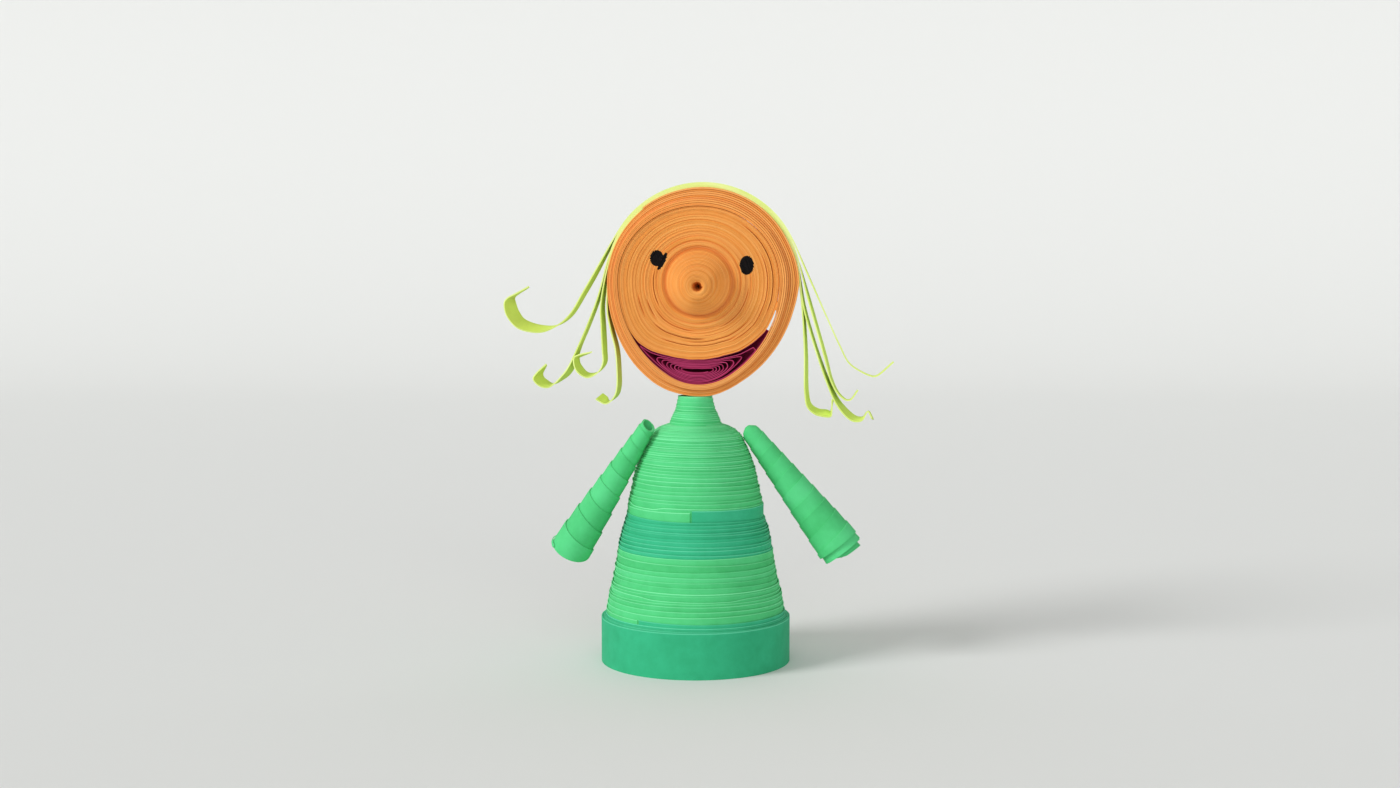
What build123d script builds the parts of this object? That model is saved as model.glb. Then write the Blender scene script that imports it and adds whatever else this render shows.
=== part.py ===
from build123d import *
import math
import os

# A doll of quilled paper. Its dress, neck and face are tight rolls of narrow paper strip,
# pushed out along their axis so that every turn stands a little above the one around it.
# Millimetres, +Z up, origin at the middle of the hem's lower edge, face towards -Y.
# Left and right are the viewer's. Several plies of paper make one modelled turn, and a turn
# is wound in flats too short to see.

# Paper strips: widths as cut, and the hair's thickness
DRESS_STRIP = 7.0
HEAD_STRIP = 5.0
HAIR_STRIP = 3.0
HAIR_PAPER = 0.2
TURN_FLAT_COUNT = 36

# The dress roll, from its core to its hem: wound thickness and rise of each stretch
ROLL_EYE = 0.5
NECK_CORE = 2.1
NECK_WALL = 1.4
NECK_RISE = 4.0
SHOULDER_SHELF = 2.2
SHOULDER_SHELF_RISE = 0.3
SHOULDER_WALL = 2.3
SHOULDER_RISE = 4.5
CHEST_WALL = 1.85
CHEST_RISE = 8.8
WAIST_WALL = 1.45
WAIST_RISE = 5.4
SKIRT_WALL = 1.75
SKIRT_RISE = 9.3
HEM_BEVEL = 0.41
HEM_BEVEL_RISE = 1.0
HEM_WALL = 0.5

# Arms: cones of strip, each wrapped on at a slant and open at both ends
ARM_TOP_RADIUS = 1.2
ARM_END_RADIUS = 3.2
ARM_WALL = 0.45
ARM_LIP = 0.12
ARM_BANDS = 5
ARM_CREASES = 18
ARM_LENGTH = 23.3
ARM_SPREAD = 32.5
ARM_INNER_LAYER = 0.9
ARM_FLATS_PLAY = 0.18
LEFT_ARM_DROP = 0.0
LEFT_ARM_FORWARD = 3.0
LEFT_ARM_SWING = 9.0
RIGHT_ARM_DROP = 0.6
RIGHT_ARM_FORWARD = 0.0
RIGHT_ARM_SWING = -9.0

# Head: the face roll, the egg-shaped wraps around it and the mouth between them
FACE_RADIUS = 12.4
MOUTH_DEPTH = 3.3
CHIN_RADIUS = 8.3
HEAD_WRAP = 1.1
LOOSE_WRAP = 0.7
LOOSE_SHIFT = 0.6
LOOSE_DROP = 0.2
LOOSE_SETBACK = 0.5
HEAD_YAW = 3.0
HEAD_OFFSET = 0.6

# The face roll, from its eye to its rim: wound thickness and rise of each stretch
NOSE_EYE = 0.7
NOSE_TIP = 0.4
NOSE_WALL = 3.8
NOSE_RISE = 4.3
GROOVE_WALL = 0.45
RIDGE_WALL = 0.55
RIDGE_RISE = 0.3
CHEEK_RISE = 0.2
NOSE_TURNS = 4
CHEEK_TURNS = 2

# Mouth: a roll squeezed into a crescent, between two angles from straight down
MOUTH_LEFT = 43.5
MOUTH_RIGHT = 53.0
MOUTH_SETBACK = 0.3
MOUTH_LOOP = 0.5
MOUTH_STEP = 0.4
MOUTH_SLIT_LENGTH = 3.4
MOUTH_SLIT = 0.3

# Eyes: ink that soaked into the edges of the face roll
EYE_LEVEL = 3.2
EYE_SPACING = 13.1
EYE_CENTRE = 0.5
EYE_WIDTH = 2.1
EYE_HEIGHT = 2.7
INK_DEPTH = 0.3

# Hair: where each strip leaves the head, in degrees from the viewer's right, and the points
# that its two ends pass, in head radii from the middle of the face roll, so that the hair
# grows with the head. The first strip is outermost.
HAIR = [
    {
        "left": 150.0,
        "left_points": [(-1.38, -0.359), (-1.761, -0.553), (-2.085, -0.282), (-2.035, -0.187), (-1.813, -0.063)],
        "right": 25.5,
        "right_points": [(1.366, -0.408), (1.585, -0.852), (1.845, -1.014), (2.06, -0.859)],
    },
    {
        "left": 165.0,
        "left_points": [(-1.225, -0.556), (-1.451, -0.993), (-1.634, -1.141), (-1.775, -1.028), (-1.634, -0.887)],
        "right": 13.0,
        "right_points": [(1.239, -0.486), (1.387, -1.014), (1.57, -1.268), (1.69, -1.155)],
    },
    {
        "left": 166.0,
        "left_points": [(-1.046, -0.352), (-1.028, -0.845), (-1.183, -1.028), (-1.32, -0.894), (-1.141, -0.768)],
        "right": 10.5,
        "right_points": [(1.155, -0.458), (1.338, -1.028), (1.521, -1.38), (1.704, -1.479), (1.782, -1.394)],
    },
    {
        "left": 176.0,
        "left_points": [(-0.979, -0.324), (-0.88, -0.915), (-0.887, -1.183), (-1.0, -1.303), (-1.092, -1.211)],
        "right": 7.0,
        "right_points": [(1.12, -0.563), (1.134, -1.162), (1.239, -1.408), (1.366, -1.401), (1.401, -1.261)],
    },
]


# Radii and heights that follow from the sizes above
NECK_TOP_RADIUS = ROLL_EYE + NECK_CORE
NECK_RADIUS = NECK_TOP_RADIUS + NECK_WALL
SHELF_RADIUS = NECK_RADIUS + SHOULDER_SHELF
SHOULDER_RADIUS = SHELF_RADIUS + SHOULDER_WALL
CHEST_RADIUS = SHOULDER_RADIUS + CHEST_WALL
WAIST_RADIUS = CHEST_RADIUS + WAIST_WALL
SKIRT_RADIUS = WAIST_RADIUS + SKIRT_WALL
HEM_RADIUS = SKIRT_RADIUS + HEM_BEVEL + HEM_WALL
SKIRT_FOOT = DRESS_STRIP + HEM_BEVEL_RISE
WAIST_FOOT = SKIRT_FOOT + SKIRT_RISE
CHEST_FOOT = WAIST_FOOT + WAIST_RISE
SHOULDER_FOOT = CHEST_FOOT + CHEST_RISE
SHELF_HEIGHT = SHOULDER_FOOT + SHOULDER_RISE
NECK_FOOT = SHELF_HEIGHT + SHOULDER_SHELF_RISE
NECK_TOP = NECK_FOOT + NECK_RISE
CHIN_REACH = FACE_RADIUS + MOUTH_DEPTH
HEAD_HEIGHT = NECK_TOP + CHIN_REACH + HEAD_WRAP + LOOSE_WRAP + LOOSE_DROP
LOOSE_RADIUS = FACE_RADIUS + HEAD_WRAP + LOOSE_WRAP


def turns_of(outer, foot, stretches):
    """Outer radius, inner radius and upper edge of each turn, from the outermost inwards.

    stretches gives the wound thickness, the rise and the number of turns of each stretch.
    """
    turns = []
    radius, height = outer, foot
    for thickness, rise, count in stretches:
        for turn in range(count):
            level = height + rise * (turn + 0.5) / count
            edge = radius - thickness * turn / count
            turns.append((edge, edge - thickness / count, level))
        radius -= thickness
        height += rise
    return turns


def wound(outer, inner, low, high):
    """Turns of strip between two radii and two heights. An inner radius of 0 fills them."""
    section = Pos(0, 0, low) * RegularPolygon(outer, TURN_FLAT_COUNT)
    if inner:
        section -= Pos(0, 0, low) * RegularPolygon(inner, TURN_FLAT_COUNT)
    return extrude(section, high - low)


def roll(outer, foot, strip, upper, lower):
    """One tight roll about Z, pushed out into steps.

    upper gives the stretches of its upper side. lower gives those of its under side, in
    coarser steps, one strip width below, the outermost the lowest.
    """
    under = turns_of(outer, foot - strip, lower)
    base = under[0][2]
    coil = Part() + [wound(edge, inner, base, level) for edge, inner, level in turns_of(outer, foot, upper)]
    return coil - [wound(edge, 0, base, level) for edge, inner, level in under[1:]]


def dress_roll(outer, foot, stretches):
    """One colour of the dress roll, with one step under each stretch."""
    lower = [(thickness, rise, 1) for thickness, rise, turns in stretches]
    return roll(outer, foot, DRESS_STRIP, stretches, lower)


def egg(radius, chin_reach, chin_radius):
    """A face of egg outline: half circle above, a wide arc down each cheek and a chin arc.

    Each arc is tangent to the next, and an equal change of all three sizes is an offset.
    """
    drop = chin_reach - chin_radius
    cheek = (drop**2 - (radius - chin_radius) ** 2) / (2 * (radius - chin_radius))
    turn = math.degrees(math.atan2(drop, cheek))
    outline = Curve() + [
        CenterArc((0, 0), radius, 0, 180),
        CenterArc((cheek, 0), radius + cheek, 180, turn),
        CenterArc((0, -drop), chin_radius, 180 + turn, 180 - 2 * turn),
        CenterArc((-cheek, 0), radius + cheek, -turn, turn),
    ]
    return make_face(outline)


def on_face(shape, front, depth):
    """A flat shape of the face, as a solid from its front level back by depth."""
    return extrude(Plane.XZ.offset(front) * shape, -depth)


def head_place(shape):
    """Moves a piece of the head from its own frame, front at Y = 0, to its seat on the neck."""
    turned = Rot(0, 0, -HEAD_YAW) * Pos(0, -HEAD_STRIP / 2, 0) * shape
    return Pos(HEAD_OFFSET, 0, HEAD_HEIGHT) * turned


# Dress and neck: one roll of strips glued end to end, with a new colour at each radius
BODICE_STRETCHES = [
    (CHEST_WALL, CHEST_RISE, 4),
    (SHOULDER_WALL, SHOULDER_RISE, 3),
    (SHOULDER_SHELF, SHOULDER_SHELF_RISE, 1),
]


def neck_coil():
    return dress_roll(NECK_RADIUS, NECK_FOOT, [(NECK_WALL, NECK_RISE, 2), (NECK_CORE, 0, 1)])


def bodice_coil():
    return dress_roll(CHEST_RADIUS, CHEST_FOOT, BODICE_STRETCHES)


def waist_band_coil():
    return dress_roll(WAIST_RADIUS, WAIST_FOOT, [(WAIST_WALL, WAIST_RISE, 3)])


def skirt_coil():
    return dress_roll(SKIRT_RADIUS, SKIRT_FOOT, [(SKIRT_WALL, SKIRT_RISE, 4)])


def hem_coil():
    return dress_roll(HEM_RADIUS, DRESS_STRIP, [(HEM_WALL, 0, 1), (HEM_BEVEL, HEM_BEVEL_RISE, 1)])


def frustum(low_radius, low, high_radius, high):
    """A creased paper cone between two heights: flat sides, one for each crease."""
    flat = math.cos(math.pi / ARM_CREASES)
    taper = math.degrees(math.atan((low_radius - high_radius) * flat / (high - low)))
    end = Pos(0, 0, low) * RegularPolygon(low_radius, ARM_CREASES)
    return extrude(end, high - low, taper=taper)


def arm_cone(inner_layer):
    """A hollow cone standing on its wide end, with a lip where each wrap laps the one below.

    inner_layer is how far the inner plies stand out of the wide end.
    """
    band = ARM_LENGTH / ARM_BANDS
    taper = (ARM_END_RADIUS - ARM_TOP_RADIUS) / ARM_BANDS
    cone = frustum(ARM_END_RADIUS, 0, ARM_END_RADIUS - taper, band)
    for wrap in range(1, ARM_BANDS):
        radius = ARM_END_RADIUS - taper * wrap
        cone += frustum(radius + ARM_LIP, band * wrap, radius - taper, band * (wrap + 1))
    bore = ARM_END_RADIUS - ARM_WALL
    if inner_layer:
        ply = ARM_END_RADIUS - ARM_WALL / 2
        cone += frustum(ply, -inner_layer, ply, 0)
    return cone - frustum(bore, -inner_layer, ARM_TOP_RADIUS - ARM_WALL, ARM_LENGTH)


def arm_reach(height, forward, swing):
    """How far out the middle of an arm's upper end lies, so that the arm rests on the bodice.

    At the upper edge of each turn the arm's slanted section must just clear the turn. The
    flats of cone and turns let it come in a little further than round ones would.
    """
    slant = math.cos(math.radians(ARM_SPREAD))
    outward = math.tan(math.radians(ARM_SPREAD)) / math.cos(math.radians(swing))
    reach = 0
    for edge, inner, level in turns_of(CHEST_RADIUS, CHEST_FOOT, BODICE_STRETCHES):
        drop = height - level
        radius = ARM_TOP_RADIUS + ARM_LIP + (ARM_END_RADIUS - ARM_TOP_RADIUS) * drop / slant / ARM_LENGTH
        apart = edge - ARM_FLATS_PLAY + radius / slant
        front = forward - drop * math.tan(math.radians(swing))
        reach = max(reach, math.sqrt(apart**2 - front**2) - drop * outward)
    return reach


def arm_place(cone, side, drop, forward, swing):
    """Hangs a cone from the shoulder, its upper end beside the shelf, its wide end out and down.

    side is -1 for the viewer's left and 1 for the right. swing turns the wide end back.
    """
    height = SHELF_HEIGHT - drop
    shoulder = Pos(side * arm_reach(height, forward, swing), -forward, height)
    attitude = Rot(swing, 0, 0) * Rot(0, -side * ARM_SPREAD, 0)
    return shoulder * attitude * Pos(0, 0, -ARM_LENGTH) * cone


def left_arm_roll():
    return arm_place(arm_cone(0), -1, LEFT_ARM_DROP, LEFT_ARM_FORWARD, LEFT_ARM_SWING)


def right_arm_roll():
    cone = arm_cone(ARM_INNER_LAYER)
    return arm_place(cone, 1, RIGHT_ARM_DROP, RIGHT_ARM_FORWARD, RIGHT_ARM_SWING)


def face_roll():
    """The face roll in the head's frame: nose, two ridges around it, cheeks and rim."""
    ridges = [
        (RIDGE_WALL, 0, 1),
        (GROOVE_WALL, -RIDGE_RISE, 1),
        (RIDGE_WALL, 2 * RIDGE_RISE, 1),
        (GROOVE_WALL, -RIDGE_RISE, 1),
    ]
    nose = [(NOSE_WALL, NOSE_RISE, NOSE_TURNS), (NOSE_TIP, 0, 1)]
    nose_radius = NOSE_WALL + NOSE_TIP + NOSE_EYE
    ridge_radius = nose_radius + sum(thickness for thickness, rise, turns in ridges)
    cheeks = [(FACE_RADIUS - ridge_radius, CHEEK_RISE, CHEEK_TURNS)]
    back = [(FACE_RADIUS - nose_radius, 0, 1), (NOSE_WALL, NOSE_RISE, 2), (NOSE_TIP, 0, 1)]
    coil = roll(FACE_RADIUS, -CHEEK_RISE, HEAD_STRIP, cheeks + ridges + nose, back)
    return Rot(90, 0, 0) * coil


def eye_column(side):
    """A column of oval section through the face roll, where one eye is inked."""
    oval = Pos(EYE_CENTRE + side * EYE_SPACING / 2, EYE_LEVEL) * Ellipse(EYE_WIDTH / 2, EYE_HEIGHT / 2)
    return on_face(oval, HEAD_STRIP, 2 * HEAD_STRIP)


def eye_ink(side):
    """The inked layer of the paper edges, as deep as the ink soaked in."""
    face = face_roll()
    return (face & eye_column(side)) - Pos(0, INK_DEPTH, 0) * face


def face_coil():
    return face_roll() - eye_ink(-1) - eye_ink(1)


def head_wrap():
    """The turns around face and mouth, and outside them the loose ones, which sit lower and back."""
    wrap = HEAD_WRAP
    loose = HEAD_WRAP + LOOSE_WRAP
    inside = egg(FACE_RADIUS, CHIN_REACH, CHIN_RADIUS)
    tight = egg(FACE_RADIUS + wrap, CHIN_REACH + wrap, CHIN_RADIUS + wrap)
    slack = Pos(LOOSE_SHIFT, -LOOSE_DROP) * egg(LOOSE_RADIUS, CHIN_REACH + loose, CHIN_RADIUS + loose)
    tight_turns = on_face(tight, 0, HEAD_STRIP)
    loose_turns = on_face(slack, -LOOSE_SETBACK, HEAD_STRIP)
    return tight_turns + loose_turns - on_face(inside, HEAD_STRIP, 3 * HEAD_STRIP)


def mouth_crescent(inset):
    """The space between face roll and wraps, cut off at the corners and drawn in by inset."""
    reach = 4 * FACE_RADIUS
    left = math.radians(MOUTH_LEFT - math.degrees(inset / FACE_RADIUS))
    right = math.radians(MOUTH_RIGHT - math.degrees(inset / FACE_RADIUS))
    corners = [
        (0, 0),
        (-reach * math.sin(left), -reach * math.cos(left)),
        (reach * math.sin(right), -reach * math.cos(right)),
    ]
    wedge = make_face(Polyline(*corners, close=True))
    lower_lip = egg(FACE_RADIUS - inset, CHIN_REACH - inset, CHIN_RADIUS - inset)
    return (lower_lip - Circle(FACE_RADIUS + inset)) & wedge


def mouth_coil():
    """A crescent whose inner loops lie one step deeper each, with the slit of the squeezed eye."""
    mouth = on_face(mouth_crescent(0), -MOUTH_SETBACK, HEAD_STRIP)
    for loop in (1, 2):
        level = -MOUTH_SETBACK - loop * MOUTH_STEP
        mouth -= on_face(mouth_crescent(loop * MOUTH_LOOP), HEAD_STRIP, HEAD_STRIP - level)
    slit = Pos(0, -FACE_RADIUS - MOUTH_DEPTH / 2) * Rectangle(MOUTH_SLIT_LENGTH, MOUTH_SLIT)
    return mouth - on_face(slit, HEAD_STRIP, 3 * HEAD_STRIP)


def hair_tail(angle, radius, points, side):
    """Tangent arcs from the point where a strip leaves the head through the given points."""
    lift = math.radians(angle)
    point = Vector(LOOSE_SHIFT + radius * math.cos(lift), -LOOSE_DROP + radius * math.sin(lift))
    heading = Vector(side * math.sin(lift), -side * math.cos(lift))
    arcs = []
    for target in points:
        arc = TangentArc(point, LOOSE_RADIUS * Vector(*target), tangent=heading)
        arcs.append(arc)
        point, heading = arc @ 1, arc % 1
    return arcs


def beside(arc, distance):
    """The arc at a distance to the left of another, with the same centre."""
    points = []
    for place in (0, 0.5, 1):
        along = arc % place
        points.append(arc @ place + distance * Vector(-along.Y, along.X))
    return ThreePointArc(*points)


def hair_strip(number):
    """One strip laid over the head on the strips below it, with a curl at each end."""
    lock = HAIR[number]
    radius = LOOSE_RADIUS + HAIR_PAPER * (len(HAIR) - number - 0.5)
    crown = CenterArc((LOOSE_SHIFT, -LOOSE_DROP), radius, lock["right"], lock["left"] - lock["right"])
    edges = []
    for half in (HAIR_PAPER / 2, -HAIR_PAPER / 2):
        right = [beside(arc, half) for arc in hair_tail(lock["right"], radius, lock["right_points"], 1)]
        left = [beside(arc, -half) for arc in hair_tail(lock["left"], radius, lock["left_points"], -1)]
        edges.append(right[::-1] + [beside(crown, -half)] + left)
    ends = [Line(edges[0][0] @ 1, edges[1][0] @ 1), Line(edges[0][-1] @ 1, edges[1][-1] @ 1)]
    ribbon = make_face(edges[0] + edges[1] + ends)
    return on_face(ribbon, -(HEAD_STRIP - HAIR_STRIP) / 2, HAIR_STRIP)


PIECES = {
    "hem_coil": hem_coil,
    "skirt_coil": skirt_coil,
    "waist_band_coil": waist_band_coil,
    "bodice_coil": bodice_coil,
    "neck_coil": neck_coil,
    "left_arm_roll": left_arm_roll,
    "right_arm_roll": right_arm_roll,
    "face_coil": lambda: head_place(face_coil()),
    "left_eye_ink": lambda: head_place(eye_ink(-1)),
    "right_eye_ink": lambda: head_place(eye_ink(1)),
    "mouth_coil": lambda: head_place(mouth_coil()),
    "head_wrap": lambda: head_place(head_wrap()),
}
for strip in range(len(HAIR)):
    PIECES[f"hair_strip_{strip + 1}"] = lambda strip=strip: head_place(hair_strip(strip))

os.makedirs("parts", exist_ok=True)
for node, build in PIECES.items():
    piece = build()
    export_step(piece, f"parts/{node}.step")
    print(node, round(piece.volume, 2), "mm3")
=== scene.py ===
"""The looks of a small doll of quilled paper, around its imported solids.

The doll is made of narrow paper strips. Its dress and neck are one tight roll that was
pushed out along its axis, its face is a second roll with a nose pushed out of it, its mouth
is a third, squeezed into a crescent, its arms are cones wrapped at a slant, and its hair is
four curled strips. Every strip is modelled as a strip: a thin rectangle of paper carried
along its real winding.

Lengths are in millimetres until a mesh is filled. The row's frame is kept: +Z up, the face
towards -Y, left and right as the viewer has them. Turns are counted outwards from the eye
of a roll.
"""

from __future__ import annotations

import logging
import math
from dataclasses import dataclass, field
from enum import Enum

import bpy
import numpy as np
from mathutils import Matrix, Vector

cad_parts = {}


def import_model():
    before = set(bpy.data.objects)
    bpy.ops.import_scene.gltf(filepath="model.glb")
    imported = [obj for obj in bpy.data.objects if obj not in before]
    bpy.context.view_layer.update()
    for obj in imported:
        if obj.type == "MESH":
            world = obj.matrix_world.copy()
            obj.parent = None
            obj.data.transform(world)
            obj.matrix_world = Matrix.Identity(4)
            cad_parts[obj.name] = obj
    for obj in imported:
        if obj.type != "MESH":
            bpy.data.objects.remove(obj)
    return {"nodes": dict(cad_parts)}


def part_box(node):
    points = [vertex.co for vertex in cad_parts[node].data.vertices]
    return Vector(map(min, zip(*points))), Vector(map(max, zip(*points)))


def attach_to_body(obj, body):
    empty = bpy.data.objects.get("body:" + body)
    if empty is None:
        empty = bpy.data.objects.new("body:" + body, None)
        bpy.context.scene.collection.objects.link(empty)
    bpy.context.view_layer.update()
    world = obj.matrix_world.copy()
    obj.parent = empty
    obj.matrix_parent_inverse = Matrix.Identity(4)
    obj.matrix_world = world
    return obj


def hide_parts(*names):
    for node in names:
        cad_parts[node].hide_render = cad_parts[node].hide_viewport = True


LOG = logging.getLogger("quilled_doll")
METRES = 0.001
TURN = 2 * math.pi
# How many sine waves make an uneven line, and how many points an outline of the head.
WAVE_COUNT = 9
OUTLINE_POINTS = 1440
# Faces that meet at less than this are shaded as one.
SHARPEST_SMOOTH = math.radians(35)
# How high the fibres stand on paper, in metres, and their changes in a metre.
FIBRE_HEIGHT = 0.00003
FIBRE_RATE = 5200.0
# The sides of a strip's and a ribbon's section, 1 where the knife cut.
STRIP_CUT = (0.0, 0.0, 1.0, 1.0, 1.0, 0.0, 0.0, 1.0)
RIBBON_CUT = (0.0, 1.0, 0.0, 1.0)
# The share of a strip's flare that is reached at its bevel.
BEVEL_BEND = 0.85
# A Mix node's colour sockets.
MIX_FIRST, MIX_SECOND, MIX_RESULT = 6, 7, 2


class Slot(Enum):
    """The record's material slots."""

    TEAL = "teal_paper"
    GREEN = "green_paper"
    ORANGE = "orange_paper"
    MAGENTA = "magenta_paper"
    LIME = "lime_paper"
    INK = "black_ink"


class Winding(Enum):
    """Which way a wrap climbs an arm, seen from the arm's narrow end."""

    CLOCKWISE = -1
    COUNTERCLOCKWISE = 1


Table = tuple[tuple[float, float], ...]
Knots = tuple[tuple[float, float, float, float], ...]
Point = tuple[float, float, float]
Screen = tuple[int, int, int]
Socket = bpy.types.NodeSocket
Colour = tuple[float, float, float, float] | Socket
Inputs = dict[str | int, float | tuple[float, ...] | Socket]


# Shapes


def waves(turns: np.ndarray, seed: int, slowest: float, fastest: float) -> np.ndarray:
    """An uneven line: the sum of sine waves of random rate and phase, of about unit size.

    Args:
        turns: where along a winding to read it, in turns.
        seed: fixes the random rates and phases.
        slowest: lowest rate, in waves per turn.
        fastest: highest rate, in waves per turn.

    Returns:
        One value for each place.
    """
    draw = np.random.default_rng(seed)
    rates = draw.uniform(slowest, fastest, WAVE_COUNT)
    phases = draw.uniform(0, TURN, WAVE_COUNT)
    total = np.sin(TURN * np.multiply.outer(turns, rates) + phases).sum(axis=-1)
    return total / math.sqrt(WAVE_COUNT)


def smoothstep(low: float, high: float, value: np.ndarray) -> np.ndarray:
    """Rises from 0 at low to 1 at high as 3 t squared minus 2 t cubed."""
    t = np.clip((value - low) / (high - low), 0, 1)
    return t * t * (3 - 2 * t)


def read(table: Table, at: np.ndarray) -> np.ndarray:
    """Reads a table of pairs at each place, straight from one pair to the next."""
    return np.interp(at, *np.array(table).T)


def read_loops(values: tuple[float, ...], at: np.ndarray) -> np.ndarray:
    """Reads one value a loop at any count of loops, straight from one to the next."""
    return np.interp(at, np.arange(len(values)), values)


def rays(angle: np.ndarray) -> np.ndarray:
    """Unit vectors at angles in radians."""
    return np.stack([np.cos(angle), np.sin(angle)], axis=-1)


def rotated(a: np.ndarray, b: np.ndarray, angle: float) -> tuple[np.ndarray, np.ndarray]:
    """The coordinates a and b after a turn from a towards b, by an angle in radians."""
    cosine, sine = math.cos(angle), math.sin(angle)
    return cosine * a - sine * b, sine * a + cosine * b


def turn_count(radius: float, eye: float, paper: float, angle: float) -> float:
    """The count of turns nearest a radius at which a winding passes an angle in degrees."""
    return round((radius - eye) / paper - angle / 360) + angle / 360


def run_along(line: np.ndarray) -> np.ndarray:
    """Distance from a line's start to each of its points, over its first two columns."""
    steps = np.linalg.norm(np.diff(line[:, :2], axis=0), axis=1)
    return np.concatenate([[0], np.cumsum(steps)])


def spline(knots: np.ndarray, per_span: int) -> np.ndarray:
    """A smooth line through knots, as centripetal Catmull-Rom spans.

    Each span is the Barry-Goldman pyramid of straight blends over its four nearest knots,
    with knot times that grow by the square root of the distance between knots.

    Args:
        knots: rows of coordinates. The first two columns give the distance.
        per_span: points in each span.

    Returns:
        Rows of coordinates, with every column blended the same way.
    """
    ends = np.vstack([2 * knots[:1] - knots[1:2], knots, 2 * knots[-1:] - knots[-2:-1]])
    gaps = np.sqrt(np.linalg.norm(np.diff(ends[:, :2], axis=0), axis=1)) + 1e-6
    times = np.concatenate([[0], np.cumsum(gaps)])
    span = np.repeat(np.arange(1, len(ends) - 2), per_span)
    part = np.tile(np.arange(per_span) / per_span, len(ends) - 3)
    span, part = np.append(span, len(ends) - 3), np.append(part, 1.0)
    at = [times[span + k][:, None] for k in (-1, 0, 1, 2)]
    points = [ends[span + k] for k in (-1, 0, 1, 2)]
    t = at[1] + (at[2] - at[1]) * part[:, None]

    def blend(a: np.ndarray, b: np.ndarray, start: np.ndarray, end: np.ndarray) -> np.ndarray:
        """Straight blend of a at start into b at end, read at t."""
        return (a * (end - t) + b * (t - start)) / (end - start)

    first = [blend(points[k], points[k + 1], at[k], at[k + 1]) for k in range(3)]
    second = [blend(first[k], first[k + 1], at[k], at[k + 2]) for k in range(2)]
    return blend(second[0], second[1], at[1], at[2])


def eased(line: np.ndarray, step: float, reach: float) -> np.ndarray:
    """The same line in even steps, with its corners rounded.

    Each column is read at even distances along the first two, and every point becomes the
    mean of its neighbours within the reach, each weighted by a raised cosine.

    Args:
        line: rows of coordinates.
        step: distance from point to point.
        reach: how far the mean reaches to either side.

    Returns:
        Rows of coordinates, with the same two ends.
    """
    run = run_along(line)
    even = np.linspace(0, run[-1], int(run[-1] / step) + 2)
    columns = [np.interp(even, run, column) for column in line.T]
    count = int(reach / step)
    weights = 1 + np.cos(np.pi * np.arange(-count, count + 1) / (count + 1))
    weights /= weights.sum()
    mirrored = [np.pad(column, count, mode="reflect", reflect_type="odd") for column in columns]
    return np.stack([np.convolve(column, weights, mode="valid") for column in mirrored], axis=1)


def sideways(line: np.ndarray) -> np.ndarray:
    """Unit vectors at a right angle to a flat line, to the left of its travel.

    Args:
        line: rows of two coordinates.

    Returns:
        Rows of two coordinates.
    """
    along = np.gradient(line, axis=0)
    along /= np.linalg.norm(along, axis=1, keepdims=True)
    return np.stack([-along[:, 1], along[:, 0]], axis=1)


def fill_mesh(name: str, points: np.ndarray, faces: list[list[int]]) -> bpy.types.Mesh:
    """Makes a mesh that is shaded smooth.

    Args:
        name: the mesh's name.
        points: its points, in millimetres.
        faces: the point numbers of each face.

    Returns:
        The mesh.
    """
    mesh = bpy.data.meshes.new(name)
    mesh.from_pydata((points.reshape(-1, 3) * METRES).tolist(), [], faces)
    mesh.polygons.foreach_set("use_smooth", np.ones(len(mesh.polygons), dtype=bool))
    return mesh


def add_object(name: str, data: bpy.types.ID) -> bpy.types.Object:
    """Puts a mesh, lamp or camera into the scene.

    Args:
        name: the object's name.
        data: what it shows.

    Returns:
        The new object.
    """
    thing = bpy.data.objects.new(name, data)
    bpy.context.scene.collection.objects.link(thing)
    return thing


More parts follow.
